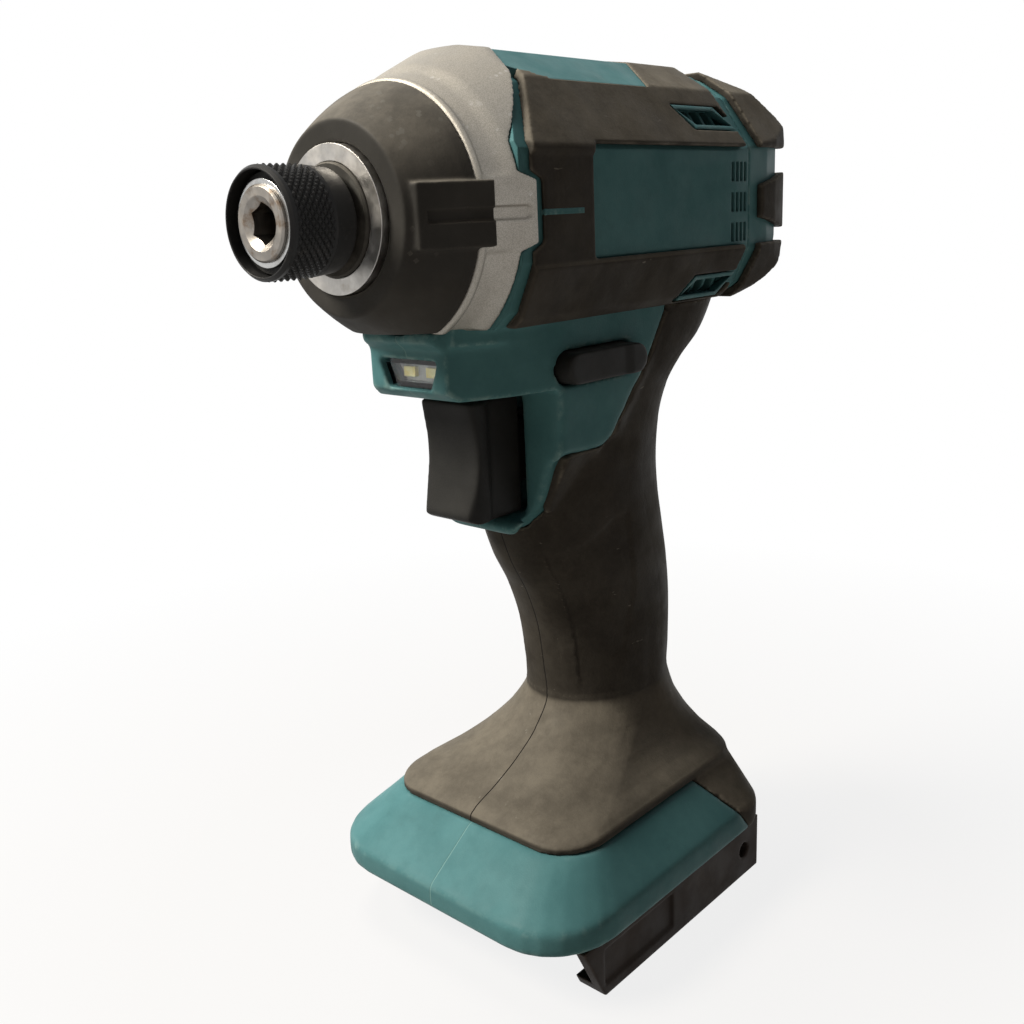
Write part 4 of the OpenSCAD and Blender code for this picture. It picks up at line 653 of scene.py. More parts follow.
grip = [
    (FLANGE_Z + z * HANDLE_RISE, back * HANDLE_DEPTH, front * HANDLE_DEPTH, half * HANDLE_HALF, GRIP_CORNER)
    for z, back, front, half in grip_shares
]
sections = np.array(flare + grip)


def curve_through(x, y, at):
    """Smooth curve through points that never overshoots them."""
    gap = np.diff(x)
    slope = np.diff(y) / gap
    bend = np.zeros_like(y)
    same = slope[:-1] * slope[1:] > 0
    weight_a, weight_b = 2 * gap[1:] + gap[:-1], gap[1:] + 2 * gap[:-1]
    with np.errstate(divide="ignore", invalid="ignore"):
        middle = (weight_a + weight_b) / (weight_a / slope[:-1] + weight_b / slope[1:])
    bend[1:-1] = np.where(same, middle, 0)
    bend[0], bend[-1] = slope[0], slope[-1]
    k = np.clip(np.searchsorted(x, at) - 1, 0, len(x) - 2)
    t = (at - x[k]) / gap[k]
    h = gap[k]
    return (
        (2 * t**3 - 3 * t**2 + 1) * y[k] + (t**3 - 2 * t**2 + t) * h * bend[k]
        + (3 * t**2 - 2 * t**3) * y[k + 1] + (t**3 - t**2) * h * bend[k + 1]
    )


def smooth_handle(points):
    """Points of the straight loft, moved on to the smooth one."""
    z = np.clip(points[:, 2], sections[0, 0], sections[-1, 0])
    straight = [np.interp(z, sections[:, 0], sections[:, c]) for c in (1, 2, 3, 4)]
    curved = [curve_through(sections[:, 0], sections[:, c], z) for c in (1, 2, 3)]
    centre, reach = (straight[0] + straight[1]) / 2, (straight[1] - straight[0]) / 2
    u, v = (points[:, 0] - centre) / reach, points[:, 1] / straight[2]
    edge = 1 - straight[3]
    a, b = (np.abs(u) - edge) / straight[3], (np.abs(v) - edge) / straight[3]
    arc = (a > 0) & (b > 0) & (points[:, 2] > ARC_BASE)
    angle = np.degrees(np.arctan2(b, a))
    half_step = ARC_STEP / 2
    chord = math.cos(math.radians(half_step)) / np.cos(np.radians(np.mod(angle, ARC_STEP) - half_step))
    near = np.clip((np.hypot(a, b) - RIM_SHARE) / RIM_RUN, 0, 1)
    push = np.where(arc, 1 + (1 / chord - 1) * near, 1)
    u = np.where(arc, np.sign(u) * (edge + a * push * straight[3]), u)
    v = np.where(arc, np.sign(v) * (edge + b * push * straight[3]), v)
    inside = (points[:, 2] > CURVE_BASE) & (points[:, 2] < CURVE_TOP)
    out = points.copy()
    out[:, 0] = np.where(inside, (curved[0] + curved[1]) / 2 + u * (curved[1] - curved[0]) / 2, points[:, 0])
    out[:, 1] = np.where(inside, v * curved[2], points[:, 1])
    return out


print("sections", len(sections))

# %% [markdown]
# ## Added forms
# Some copies need a little more body than their solid before they are remeshed. A closed prism between
# two loops of points is enough: the remesh melts it into the rest.

# %% Prism helper
def add_prism(mesh, low, high):
    """Join two loops of points in millimetres into a closed prism and add it to a mesh."""
    bm = bmesh.new()
    bm.from_mesh(mesh)
    rows = [[bm.verts.new(Vector(p) * MM) for p in loop] for loop in (low, high)]
    faces = [bm.faces.new(rows[0]), bm.faces.new(rows[1][::-1])]
    for k in range(len(low)):
        m = (k + 1) % len(low)
        faces.append(bm.faces.new((rows[0][k], rows[1][k], rows[1][m], rows[0][m])))
    bmesh.ops.recalc_face_normals(bm, faces=faces)
    bmesh.ops.triangulate(bm, faces=faces)
    bm.to_mesh(mesh)
    bm.free()


print("prism helper ready")

# %% [markdown]
# ## Lap behind the trigger
# Behind the trigger the rubber laps over the neck with a raised, stepped edge. A thin prism on each
# side is drawn along that edge, and its height follows the width of the neck.

# %% Lap edge
GUARD_X, GUARD_BASE, NECK_RUN, TRIGGER_H = 12.5, 97.7, 42.0, 26.0
NECK_HALF, NECK_TOP = 19.5, 153.5
LAP_RUN, LAP_IN, LAP_DROP, LAP_FALL = 13.0, 11.0, 0.2, 2.4
HEAD_CUT = 143.7
rise_shares = [(0.44, 0), (0.76, 0.12), (0.94, 0.27), (1, 0.5), (1.06, 1)]
edge_shares = [
    (0.14, 0.125), (0.065, 0.165), (0.05, 0.56), (0.075, 0.655), (0.12, 0.672), (0.37, 0.658),
    (0.452, 0.742), (0.583, 1.03), (0.726, 1.3), (0.88, 1.68),
]


def lap_height(z):
    """Half width of the bare neck at a height, less a small drop."""
    heights = [GUARD_BASE + t * (NECK_TOP - GUARD_BASE) for s, t in rise_shares]
    return np.interp(z, heights, [s * NECK_HALF for s, t in rise_shares]) - LAP_DROP


lap_edge = [(GUARD_X - s * NECK_RUN, GUARD_BASE + t * TRIGGER_H) for s, t in edge_shares]
lap_rear = [(x - LAP_RUN, z) for x, z in lap_edge[::-1]]
grips = ["grip_left", "grip_right"]
handle = solid_copy(grips, [below(HEAD_CUT)], drop_joint=True)
for sign in (1, -1):
    add_prism(
        handle,
        [(x, sign * LAP_IN, z) for x, z in lap_edge + lap_rear],
        [(x, sign * lap_height(z), z) for x, z in lap_edge]
        + [(x, sign * (lap_height(z) - LAP_FALL), z) for x, z in lap_rear],
    )
print("lap points", len(lap_edge))

# %% [markdown]
# ## Handle piece
# The copy is remeshed, its sections are smoothed, and the palm field is pressed in: it lies in front
# of a rear line, behind a front line and below a top line.

# %% Handle piece
PALM_DEPTH, PALM_SLOPE, PALM_BASE = 0.4, 1.0, 53.0
PALM_FRONT = [(57, 2.2), (79, 6.4), (90, 10.4)]
PALM_REAR = [(51, -12.0), (79, -16.3), (99, -13.5)]
PALM_TOP = [(-8.5, 97.9), (-0.3, 92.8), (10.4, 89.9)]
handle = moulded(handle, voxel=0.67, passes=4)
points = smooth_handle(points_of(handle))
palm_front = np.interp(points[:, 2], *zip(*PALM_FRONT))
palm_rear = np.interp(points[:, 2], *zip(*PALM_REAR))
palm_top = np.interp(points[:, 0], *zip(*PALM_TOP))
palm = (
    step(palm_front - points[:, 0], 0, PALM_SLOPE) * step(points[:, 0] - palm_rear, 0, PALM_SLOPE)
    * step(palm_top - points[:, 2], 0, PALM_SLOPE) * step(points[:, 2] - PALM_BASE, 0, 6 * PALM_SLOPE)
)
points[:, 1] -= np.sign(points[:, 1]) * PALM_DEPTH * palm * (np.abs(points[:, 1]) > HANDLE_HALF / 2)
move_points(handle, points)
show("handle_skin", handle, soft_skin, "housing", grips)

# %% [markdown]
# ## Overmould on the head
# The upper part of the same rubber frames the bare side panel and the vents. It has two proud bands,
# one above and one below, and lies deeper between them. The remeshed copy has enough points to press
# that middle band in with a formula: only its outer skin moves, over a short slope at each band.

# %% Head pads
HEAD_HALF, SKIN = 28.5, 1.6
BAND_HALF, BAND_SLOPE, BAND_DEPTH = 9.4, 1.3, 0.75
pads = {}
for side in ("left", "right"):
    pad = moulded(solid_copy(["grip_" + side], [above(HEAD_CUT)]), voxel=0.42, passes=3)
    points = points_of(pad)
    skin_share = np.clip((np.abs(points[:, 1]) - HEAD_HALF + SKIN) / SKIN, 0, 1)
    middle = 1 - step(np.abs(points[:, 2] - AXIS_Z), BAND_HALF, BAND_HALF + BAND_SLOPE)
    points[:, 1] -= np.sign(points[:, 1]) * BAND_DEPTH * skin_share * middle
    move_points(pad, points)
    pads[side] = show("head_pad_" + side, pad, soft_skin, "housing", ["grip_" + side])

# %% [markdown]
# ## Frames of the slanted vents
# Each slanted vent has a teal frame that lies level with the rubber around it. Rays from the side find
# the slope of the rubber's face next to the vent, and four bars with mitred ends join the corners.

# %% Vent frames
VENT_REAR, VENT_LEN, VENT_H, VENT_LEAN = -44.0, 16.2, 5.0, 4.8
VENT_RISE, FRAME_W, FRAME_DEEP = 17.93, 0.9, 2.2
RAY_STEP, RAY_AHEAD = 0.8, (0, 3, 6, 9, 12)


def vent_corners(up, grow):
    """Corners of the upper or lower vent, in x and z, grown or shrunk on all sides."""
    low = AXIS_Z + up * VENT_RISE - VENT_H / 2 - grow
    high = AXIS_Z + up * VENT_RISE + VENT_H / 2 + grow
    foot_x, head_x = (0, VENT_LEAN) if up > 0 else (VENT_LEAN, 0)
    return [
        (VENT_REAR - grow + foot_x, low), (VENT_REAR + VENT_LEN + grow + foot_x, low),
        (VENT_REAR + VENT_LEN + grow + head_x, high), (VENT_REAR - grow + head_x, high),
    ]


def rubber_y(tree, sign, x, z):
    """Distance of the rubber's face from the middle plane, at the nearest place ahead that has rubber."""
    starts = [Vector((x + ahead, sign * 2 * HEAD_HALF, z)) * MM for ahead in RAY_AHEAD]
    hits = [tree.ray_cast(start, (0, -sign, 0))[0] for start in starts]
    return next(abs(hit.y) / MM for hit in hits if hit)


def face_y(tree, sign, up, x, z):
    """Face of the rubber carried on over a vent, from two heights beside it."""
    near, far = [AXIS_Z + up * (VENT_RISE - VENT_H / 2 - k * RAY_STEP) for k in (1, 3)]
    a, b = [rubber_y(tree, sign, x, rise) for rise in (near, far)]
    return a + (b - a) * (z - near) / (far - near)


for side, sign in (("left", 1), ("right", -1)):
    pad = pads[side].data
    tree = BVHTree.FromPolygons([v.co for v in pad.vertices], [p.vertices for p in pad.polygons])
    frames = bpy.data.meshes.new("vent_frames")
    for up in (1, -1):
        outer, inner = vent_corners(up, 0), vent_corners(up, -FRAME_W)
        for k in range(4):
            m = (k + 1) % 4
            ends = (outer[k], outer[m], inner[m], inner[k])
            bar = [(x, face_y(tree, sign, up, x, z), z) for x, z in ends]
            add_prism(frames, *[[(x, sign * (y - deep), z) for x, y, z in bar] for deep in (0, FRAME_DEEP)])
    show("vent_frames_" + side, frames, teal_crisp, "housing", [], smooth=False)

# %% [markdown]
# ## Bar in the front pads
# A narrow rib of the teal shell shows through a slot in the rubber in front of the panel. Each rib is
# a box with rounded edges.

# %% Side ribs
RIB_X, RIB_Z, RIB_ROUND, RIB_PROUD = (13.5, 25.2), (164.2, 165.4), 0.2, 0.05


def rounded_box(low, high, radius):
    """Box between two corners, with rounded edges."""
    bm = bmesh.new()
    bmesh.ops.create_cube(bm, size=1)
    centre = [(a + b) / 2 for a, b in zip(low, high)]
    for v in bm.verts:
        v.co = Vector([(c + p * (b - a)) * MM for c, p, a, b in zip(centre, v.co, low, high)])
    bmesh.ops.bevel(bm, geom=bm.edges[:], offset=radius * MM, segments=3, affect="EDGES", profile=0.5)
    mesh = bpy.data.meshes.new("rounded_box")
    bm.to_mesh(mesh)
    bm.free()
    return mesh


rib_top = HEAD_HALF - BAND_DEPTH + RIB_PROUD
for side, sign in (("left", 1), ("right", -1)):
    ends = sorted((sign * (rib_top - SKIN), sign * rib_top))
    rib = rounded_box(*zip(RIB_X, ends, RIB_Z), RIB_ROUND)
    show("side_rib_" + side, rib, teal, "housing", [], smooth=False)

# %% [markdown]
# ## Shells
# The shell is shown as three skins: foot, neck and head. The foot and the neck are remeshed like the
# rubber, because their forms are soft.

# %% Foot shell
FOOT_CUT = 30.05
shells = ["housing_left", "housing_right"]
foot = moulded(solid_copy(shells, [below(FOOT_CUT)], drop_joint=True), voxel=0.62, passes=15)
show("foot_shell", foot, teal, "housing", shells)

# %% [markdown]
# ## Neck with chin and guard
# The trigger guard is thin and round, while the chin above it has clear edges. So the whole neck is
# remeshed, a second copy is relaxed much further, and the two are blended over a short height below
# the chin. Two sills fill the gap under the silver cover.

# %% Neck shell
NECK_CUTS = (96, 144.6)
CHIN_BASE, CHIN_FADE, NECK_PASSES = 129.6, 4.0, 40
SILL = [(20, 8), (36, 8), (36, 12.6), (28.6, 16.2), (20, 17.8)]
SILL_RANGE = (140.5, 145.2)
neck = solid_copy(shells, [above(NECK_CUTS[0]), below(NECK_CUTS[1])], drop_joint=True)
for sign in (1, -1):
    add_prism(neck, *[[(x, sign * y, z) for x, y in SILL] for z in SILL_RANGE])
neck = moulded(neck, voxel=0.49, passes=11)
firm = points_of(neck)
relaxed = points_of(moulded(neck, voxel=None, passes=NECK_PASSES))
share = 1 - step(firm[:, 2], CHIN_BASE - CHIN_FADE, CHIN_BASE)
move_points(neck, firm + (relaxed - firm) * share[:, None])
show("neck_shell", neck, teal, "housing", shells)

# %% [markdown]
# ## Head shells
# The head keeps the exact faces of its solid, since the thin slats of the vents would melt in a
# remesh. Here the finish itself rounds the look of the edges.

# %% Head shells
for side in ("left", "right"):
    head = solid_copy(["housing_" + side], [above(HEAD_CUT)])
    show("head_shell_" + side, head, teal_crisp, "housing", ["housing_" + side], smooth=False)

# %% [markdown]
# ## Rear cover and its bumper
# The cap behind the motor is teal with a dark bumper around its edge. Both are thick mouldings, so a
# fine remesh suits them.

# %% Rear pieces
rear = moulded(solid_copy(["rear_cover"]), voxel=0.5, passes=4)
show("rear_cap", rear, teal, "housing", ["rear_cover"])
tail = moulded(solid_copy(["rear_bumper"]), voxel=0.42, passes=4)
show("rear_pads", tail, soft_skin, "housing", ["rear_bumper"])

# %% [markdown]
# ## Silver cover
# A shell that slopes from the head towards the nose. It has a rolled lip at its front, a shallow dish
# behind it and, on each side tab, a sunk slot. These are small forms on a finely meshed copy, so they
# are pressed in with formulas: how far a point lies from the axis says whether it belongs to the
# outer face.

# %% Silver cover
BUMPER_BACK, BUMPER_R, CONE_SLOPE = 38.6, 24.4, 0.45
OUTER_FROM, OUTER_TO = 1.6, 0.8
DISH_REAR, DISH_FRONT, DISH_SIDE, DISH_DEPTH = (31.2, 34.4), (36.9, 37.3), (6.0, 7.6), 0.6
LIP_RANGE, LIP_RISE = (37.4, 37.8), 0.3
SLOT_HALF, SLOT_END, SLOT_DEPTH, SLOT_SLOPE, TAB_SIDE = 1.3, 28.9, 0.95, (-0.35, 0.1), 20
cover = moulded(solid_copy(["case_cover"]), voxel=0.27, passes=12)
points = points_of(cover)
across = np.hypot(points[:, 1], points[:, 2] - AXIS_Z)
cone_r = BUMPER_R + CONE_SLOPE * (BUMPER_BACK - points[:, 0])
outer = step(across, cone_r - OUTER_FROM, cone_r - OUTER_TO)
rise = np.abs(points[:, 2] - AXIS_Z)
dish = step(points[:, 0], *DISH_REAR) * (1 - step(points[:, 0], *DISH_FRONT)) * step(rise, *DISH_SIDE)
lip = step(points[:, 0], *LIP_RANGE)
along_slot = np.maximum(SLOT_END + SLOT_HALF - points[:, 0], 0)
slot = 1 - step(np.hypot(along_slot, rise), *[SLOT_HALF + slope for slope in SLOT_SLOPE])
slot = slot * (np.abs(points[:, 1]) > TAB_SIDE)
shift = outer * (LIP_RISE * lip - DISH_DEPTH * dish - SLOT_DEPTH * slot)
points[:, 1] += shift * points[:, 1] / across
points[:, 2] += shift * (points[:, 2] - AXIS_Z) / across
move_points(cover, points)
show("silver_cover", cover, silver, "housing", ["case_cover"])

# %% [markdown]
# ## Nose bumper
# The rubber cone has a pad on each side that reaches back over the silver cover, with a groove along
# its middle. A tongue is added to the copy for the part over the cover, and the groove is pressed in
# after the remesh, so that its edges stay sharp.

# %% Nose bumper
PAD_REAR, PAD_FRONT, PAD_HALF, PAD_PROUD, PAD_TIP_R = 36.4, 49.2, 5.75, 0.8, 19.5
TONGUE_IN, TONGUE_FRONT = 22.5, 40.0
GROOVE_FRONT, GROOVE_HALF, GROOVE_DEPTH = 47.4, 1.0, 0.9
pad_slope = (BUMPER_R + PAD_PROUD - PAD_TIP_R) / (PAD_FRONT - BUMPER_BACK)


def pad_face(x):
    """Distance of the pad's face from the middle plane."""
    return BUMPER_R + PAD_PROUD - pad_slope * (x - BUMPER_BACK)


cone = solid_copy(["nose_bumper"])
tongue = [
    (PAD_REAR, TONGUE_IN), (TONGUE_FRONT, TONGUE_IN),
    (TONGUE_FRONT, pad_face(TONGUE_FRONT)), (PAD_REAR, pad_face(PAD_REAR)),
]
for sign in (1, -1):
    add_prism(cone, *[[(x, sign * y, AXIS_Z + rise) for x, y in tongue] for rise in (-PAD_HALF, PAD_HALF)])
cone = moulded(cone, voxel=0.34, passes=4)
points = points_of(cone)
in_groove = (np.abs(points[:, 2] - AXIS_Z) < GROOVE_HALF) & (points[:, 0] < GROOVE_FRONT)
deep = np.minimum(np.abs(points[:, 1]), pad_face(points[:, 0]) - GROOVE_DEPTH)
points[:, 1] = np.where(in_groove, np.sign(points[:, 1]) * deep, points[:, 1])
move_points(cone, points)
show("nose_cone", cone, nose_rubber, "housing", ["nose_bumper"])

# %% [markdown]
# ## Turned nose
# The seal behind the sleeve and the sleeve itself are turned parts. A turned part is one profile swept
# about the drive axis, and a profile with small chamfers catches the light as the real edge does.

# %% Turning helper
def turned(profile, steps=160):
    """Closed profile of (radius, place along the axis) swept about the drive axis."""
    count = len(profile)
    verts, faces = [], []
    for i in range(steps):
        angle = 2 * math.pi * i / steps
        for r, x in profile:
            verts.append((x * MM, r * math.cos(angle) * MM, (AXIS_Z + r * math.sin(angle)) * MM))
    for i in range(steps):
        j = (i + 1) % steps
        for k in range(count):
            m = (k + 1) % count
            faces.append((i * count + k, i * count + m, j * count + m, j * count + k))
    mesh = bpy.data.meshes.new("turned")
    mesh.from_pydata(verts, [], faces)
    bm = bmesh.new()
    bm.from_mesh(mesh)
    bmesh.ops.recalc_face_normals(bm, faces=bm.faces)
    bm.to_mesh(mesh)
    bm.free()
    return mesh


seal = turned([(7.15, 50.9), (10.2, 50.9), (10.2, 52.3), (9.9, 52.7), (7.5, 52.7), (7.15, 52.4)])
show("nose_seal", seal, nose_rubber, "housing", [], smooth=False)

# %% [markdown]
# ## Knurled sleeve
# The pull sleeve has a diamond knurl. Diamonds repeat by a rule, so Geometry Nodes place them: a grid
# of points is wrapped around the sleeve, every second row is shifted by half a step, and a blunt
# four-sided cone stands on each point with its long corners along the sleeve.

# %% Sleeve body
sleeve_body = turned([
    (6.66, 54.0), (9.1, 54.0), (9.3, 54.2), (9.35, 54.6), (9.75, 58.6), (9.55, 58.9), (9.5, 59.2),
    (9.5, 66.9), (9.8, 67.1), (9.8, 67.8), (9.3, 68.4), (9.1, 68.4), (9.0, 68.3), (9.0, 58.1), (6.66, 58.1),
])
print("sleeve faces", len(sleeve_body.polygons))

# %% Tree helpers
def node_tree(name):
    """Geometry node tree that takes a geometry and gives one back."""
    tree = bpy.data.node_groups.new(name, "GeometryNodeTree")
    for way in ("INPUT", "OUTPUT"):
        tree.interface.new_socket("Geometry", in_out=way, socket_type="NodeSocketGeometry")
    return tree


def tree_input(tree, name, kind, value):
    socket = tree.interface.new_socket(name, in_out="INPUT", socket_type=kind)
    socket.default_value = value
    return socket


def grown(name, mesh, tree, **sizes):
    """Result of a node tree on a mesh, as a plain mesh."""
    holder = bpy.data.objects.new(name, mesh)
    scene.collection.objects.link(holder)
    mod = holder.modifiers.new("nodes", "NODES")
    mod.node_group = tree
    for item in tree.interface.items_tree:
        if item.in_out == "INPUT" and item.name in sizes:
            mod[item.identifier] = sizes[item.name]
    ready = holder.evaluated_get(bpy.context.evaluated_depsgraph_get())
    result = bpy.data.meshes.new_from_object(ready)
    holder.modifiers.clear()
    bpy.data.objects.remove(holder)
    return result


print("tree helpers ready")

# %% Knurl nodes
def knurl_tree(material):
    tree = node_tree("knurl")
    tree_input(tree, "Radius", "NodeSocketFloat", 0.0095)
    tree_input(tree, "Start", "NodeSocketFloat", 0.059)
    tree_input(tree, "Length", "NodeSocketFloat", 0.0075)
    tree_input(tree, "Rows", "NodeSocketInt", 11)
    tree_input(tree, "Around", "NodeSocketInt", 38)
    tree_input(tree, "Height", "NodeSocketFloat", 0.00046)
    new, link = tree.nodes.new, tree.links.new
    inp, out = new("NodeGroupInput"), new("NodeGroupOutput")

    def calc(op, a, b=0.0):
        n = new("ShaderNodeMath")
        n.operation = op
        for value, socket in ((a, n.inputs[0]), (b, n.inputs[1])):
            if isinstance(value, (int, float)):
                socket.default_value = value
            else:
                link(value, socket)
        return n.outputs[0]

    line = new("GeometryNodeMeshLine")
    link(calc("MULTIPLY", inp.outputs["Rows"], inp.outputs["Around"]), line.inputs["Count"])
    index = new("GeometryNodeInputIndex").outputs[0]
    row = calc("FLOOR", calc("DIVIDE", index, inp.outputs["Around"]))
    spoke = calc("MODULO", index, inp.outputs["Around"])
    shift = calc("MULTIPLY", calc("MODULO", row, 2.0), 0.5)
    turn = calc("MULTIPLY", calc("DIVIDE", calc("ADD", spoke, shift), inp.outputs["Around"]), 2 * math.pi)
    pitch = calc("DIVIDE", inp.outputs["Length"], calc("SUBTRACT", inp.outputs["Rows"], 1.0))
    along = calc("ADD", inp.outputs["Start"], calc("MULTIPLY", row, pitch))
    outward = new("ShaderNodeCombineXYZ")
    side, rise = calc("COSINE", turn), calc("SINE", turn)
    link(side, outward.inputs["Y"])
    link(rise, outward.inputs["Z"])
    spot = new("ShaderNodeCombineXYZ")
    link(along, spot.inputs["X"])
    link(calc("MULTIPLY", side, inp.outputs["Radius"]), spot.inputs["Y"])
    link(calc("ADD", calc("MULTIPLY", rise, inp.outputs["Radius"]), AXIS_Z * MM), spot.inputs["Z"])
    put = new("GeometryNodeSetPosition")
    link(line.outputs[0], put.inputs["Geometry"])
    link(spot.outputs[0], put.inputs["Position"])
    face = new("FunctionNodeAxesToRotation")
    face.primary_axis, face.secondary_axis = "Z", "X"
    link(outward.outputs[0], face.inputs[0])
    face.inputs[1].default_value = (1, 0, 0)
    stud = new("GeometryNodeMeshCone")
    set_inputs(stud, Vertices=4, Radius_Top=0.22, Radius_Bottom=1.0, Depth=1.0)
    size = new("ShaderNodeCombineXYZ")
    link(pitch, size.inputs["X"])
    half_round = calc("MULTIPLY", inp.outputs["Radius"], math.pi)
    link(calc("DIVIDE", half_round, inp.outputs["Around"]), size.inputs["Y"])
    link(inp.outputs["Height"], size.inputs["Z"])
    seat = new("GeometryNodeInstanceOnPoints")
    link(put.outputs[0], seat.inputs["Points"])
    link(stud.outputs["Mesh"], seat.inputs["Instance"])
    link(face.outputs[0], seat.inputs["Rotation"])
    link(size.outputs[0], seat.inputs["Scale"])
    real = new("GeometryNodeRealizeInstances")
    link(seat.outputs[0], real.inputs[0])
    both = new("GeometryNodeJoinGeometry")
    link(real.outputs[0], both.inputs[0])
    link(inp.outputs["Geometry"], both.inputs[0])
    dress = new("GeometryNodeSetMaterial")
    link(both.outputs[0], dress.inputs[0])
    dress.inputs["Material"].default_value = material
    link(dress.outputs[0], out.inputs[0])
    return tree


knurl_sizes = {"Radius": 0.0095, "Start": 0.0597, "Length": 0.0068}
sleeve = grown("sleeve_holder", sleeve_body, knurl_tree(oxide), **knurl_sizes)
show("knurled_sleeve", sleeve, oxide, "sleeve", ["bit_sleeve"], smooth=False)

# %% [markdown]
# ## Trigger and direction lever
# The trigger is a smooth block with a hollow for the finger. The lever is a bar across the tool whose
# ends are thumb pads, each raised a little at its rear so that a thumb finds it.

# %% Trigger and lever
TIP_RISE, TIP_SIDE, TIP_REAR = 0.6, (19.5, 21.5), (5.0, 8.0)
trigger = moulded(solid_copy(["trigger"]), voxel=0.36, passes=36)
show("finger_trigger", trigger, black_plastic, "trigger", ["trigger"])
lever = moulded(solid_copy(["direction_lever"]), voxel=0.34, passes=36)
points = points_of(lever)
tips = step(np.abs(points[:, 1]), *TIP_SIDE) * step(-points[:, 0], *TIP_REAR)
points[:, 1] += np.sign(points[:, 1]) * TIP_RISE * tips
move_points(lever, points)
show("lever_bar", lever, black_plastic, "direction_lever", ["direction_lever"])

# %% [markdown]
# ## Rails and terminal block
# The battery slides on two rails under the foot, with the contacts between them. They are plain
# prisms, so a fine remesh with few passes takes off just the sharp edge.

# %% Rails
for side in ("left", "right"):
    rail = moulded(solid_copy(["rail_" + side]), voxel=0.36, passes=3)
    show("battery_rail_" + side, rail, rail_plastic, "housing", ["rail_" + side])
contacts = moulded(solid_copy(["terminal_block"]), voxel=0.4, passes=3)
show("contact_block", contacts, black_plastic, "housing", ["terminal_block"])

# %% [markdown]
# ## Screw heads
# The shells are screwed together from the right, and the rear cap from behind. All heads are alike, so
# one small head with a six-sided socket is modelled once and a node tree sets a copy on each screw.
# The screws' own solids say where: the outer end of each separate solid is the top of its head.

# %% Head shape and places
HEAD_R, HEAD_RISE, SOCKET_R, SOCKET_DEEP, CROWN_SHARE = 0.0028, 0.0004, 0.0013, 0.0003, 0.86


def socket_head():
    """Low round head with a six-sided socket, standing on the XY plane."""
    sides = 12
    rows = [(HEAD_R, 0.0), (CROWN_SHARE * HEAD_R, HEAD_RISE), (SOCKET_R, HEAD_RISE), (SOCKET_R, -SOCKET_DEEP)]
    verts, faces = [], []
    for row, (r, z) in enumerate(rows):
        for k in range(sides):
            flat = math.cos(math.pi / 6) if row > 1 and k % 2 else 1
            angle = 2 * math.pi * k / sides
            verts.append((r * flat * math.cos(angle), r * flat * math.sin(angle), z))
    for row in range(len(rows) - 1):
        for k in range(sides):
            m = (k + 1) % sides
            faces.append((row * sides + k, row * sides + m, (row + 1) * sides + m, (row + 1) * sides + k))
    faces.append(tuple(range(3 * sides, 4 * sides)))
    mesh = bpy.data.meshes.new("socket_head")
    mesh.from_pydata(verts, [], faces)
    return mesh


def outer_ends(node, axis):
    """Centre of the outer end of each separate solid of a node, against the direction of an axis."""
    bm = bmesh.new()
    bm.from_mesh(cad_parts[node].data)
    bmesh.ops.remove_doubles(bm, verts=bm.verts, dist=SAME_POINT)
    left, places = set(bm.verts), []
    while left:
        group, front = set(), [left.pop()]
        while front:
            v = front.pop()
            group.add(v)
            near = {e.other_vert(v) for e in v.link_edges} & left
            left -= near
            front += near
        low = [min(v.co[k] for v in group) for k in range(3)]
        high = [max(v.co[k] for v in group) for k in range(3)]
        places.append([low[k] if k == axis else (low[k] + high[k]) / 2 for k in range(3)])
    bm.free()
    return sorted(places)


screw_places = {node: outer_ends(node, axis) for node, axis in (("housing_screws", 1), ("cover_screws", 0))}
print("screws", {node: len(places) for node, places in screw_places.items()})

# %% Screw nodes
def screw_tree(material):
    tree = node_tree("screw_heads")
    tree.interface.new_socket("Head", in_out="INPUT", socket_type="NodeSocketObject")
    tree_input(tree, "Facing", "NodeSocketVector", (0, -1, 0))
    tree_input(tree, "Seed", "NodeSocketInt", 3)
    new, link = tree.nodes.new, tree.links.new
    inp, out = new("NodeGroupInput"), new("NodeGroupOutput")
    head = new("GeometryNodeObjectInfo")
    link(inp.outputs["Head"], head.inputs["Object"])
    face = new("FunctionNodeAlignRotationToVector")
    face.axis = "Z"
    link(inp.outputs["Facing"], face.inputs["Vector"])
    spin = new("FunctionNodeRandomValue")
    spin.data_type = "FLOAT"
    spin.inputs[3].default_value = 2 * math.pi
    link(inp.outputs["Seed"], spin.inputs["Seed"])
    about = new("FunctionNodeAxisAngleToRotation")
    about.inputs["Axis"].default_value = (0, 0, 1)
    link(spin.outputs[1], about.inputs["Angle"])
    turn = new("FunctionNodeRotateRotation")
    turn.rotation_space = "LOCAL"
    link(face.outputs[0], turn.inputs[0])
    link(about.outputs[0], turn.inputs[1])
    seat = new("GeometryNodeInstanceOnPoints")
    link(inp.outputs["Geometry"], seat.inputs["Points"])
    link(head.outputs["Geometry"], seat.inputs["Instance"])
    link(turn.outputs[0], seat.inputs["Rotation"])
    real = new("GeometryNodeRealizeInstances")
    link(seat.outputs[0], real.inputs[0])
    dress = new("GeometryNodeSetMaterial")
    link(real.outputs[0], dress.inputs[0])
    dress.inputs["Material"].default_value = material
    link(dress.outputs[0], out.inputs[0])
    return tree


head_holder = bpy.data.objects.new("head_holder", socket_head())
scene.collection.objects.link(head_holder)
screw_nodes = screw_tree(oxide)
for name, node, facing in (
    ("side_screw_heads", "housing_screws", (0, -1, 0)),
    ("rear_screw_heads", "cover_screws", (-1, 0, 0)),
):
    spots = bpy.data.meshes.new(name)
    spots.from_pydata(screw_places[node], [], [])
    heads = grown(name + "_spots", spots, screw_nodes, Head=head_holder, Facing=facing, Seed=3)
    show(name, heads, oxide, "housing", [], smooth=False)
bpy.data.objects.remove(head_holder)
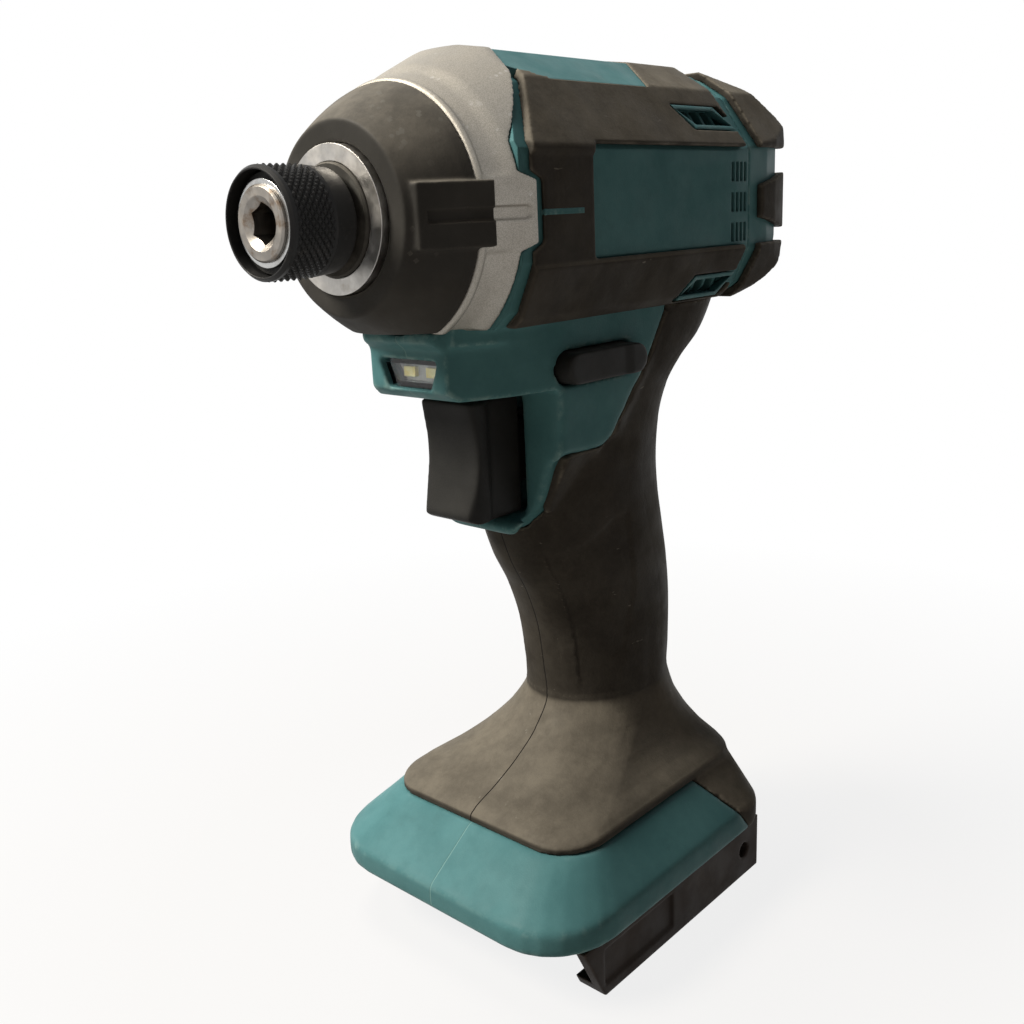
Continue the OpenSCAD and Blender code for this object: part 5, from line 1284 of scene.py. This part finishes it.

# %% [markdown]
# ## Springs
# A spring shortens when its neighbour slides. Each coil here is a plain copy of its solid, with a mesh
# of its own, shown on the body it moves with.

# %% Springs
for name, node, body, joint, travel, seat in (
    ("hammer_coil", "hammer_spring", "spindle", "hammer_slide", 8.0, 0),
    ("sleeve_coil", "sleeve_spring", "anvil", "sleeve_slide", 4.5, 1),
    ("trigger_coil", "trigger_spring", "housing", "trigger_pull", 6.5, 0),
):
    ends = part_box(node)
    coil = show(name, solid_copy([node]), spring_wire, body, [node], smooth=False)
    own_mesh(coil)

# %% [markdown]
# ## Lamp chips
# Two small yellow chips sit behind the lens. Each lies flat and wide, so a copy of the solid is
# pressed towards its own middle height.

# %% Lamp chips
CHIP_SHARE = 0.62
chips = solid_copy(["leds"])
points = points_of(chips)
middle = (points[:, 2].min() + points[:, 2].max()) / 2
points[:, 2] = middle + CHIP_SHARE * (points[:, 2] - middle)
move_points(chips, points)
show("lamp_chips", chips, lamp_yellow, "housing", ["leds"], smooth=False)

# %% [markdown]
# ## Finishes for the solids that stay
# Inner pieces and small turned parts have the right shape already. They keep their solids and only get
# a finish.

# %% Solids that stay
stays = {
    ring_metal: ["hammer_case", "bearing_plate"],
    bronze: ["anvil_bush"],
    worn_steel: ["anvil", "spindle", "hammer", "spring_washer", "motor_shaft", "planet_pins"],
    bright_steel: [
        "bit_balls", "cam_balls", "snap_ring", "spindle_bearing_outer", "spindle_bearing_inner",
        "front_bearing_outer", "front_bearing_inner", "rear_bearing_outer", "rear_bearing_inner",
    ],
    oxide: ["sleeve_washer", "housing_screws", "cover_screws"],
    spring_wire: ["brush_springs"],
    gear_steel: ["planet_gear_1", "planet_gear_2", "ring_gear", "pinion"],
    sheet_steel: ["armature_core", "motor_yoke"],
    copper: ["armature_windings", "commutator", "terminal_blades"],
    magnet_grey: ["magnets"],
    carbon: ["brushes"],
    black_plastic: ["cooling_fan", "brush_holder", "switch_body"],
    lamp_tray: ["led_board"],
    lens_clear: ["led_lens"],
    wire_red: ["motor_leads", "battery_leads"],
}
for finish, nodes in stays.items():
    for node in nodes:
        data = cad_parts[node].data
        data.materials.clear()
        data.materials.append(finish)
print("dressed solids", sum(len(n) for n in stays.values()))
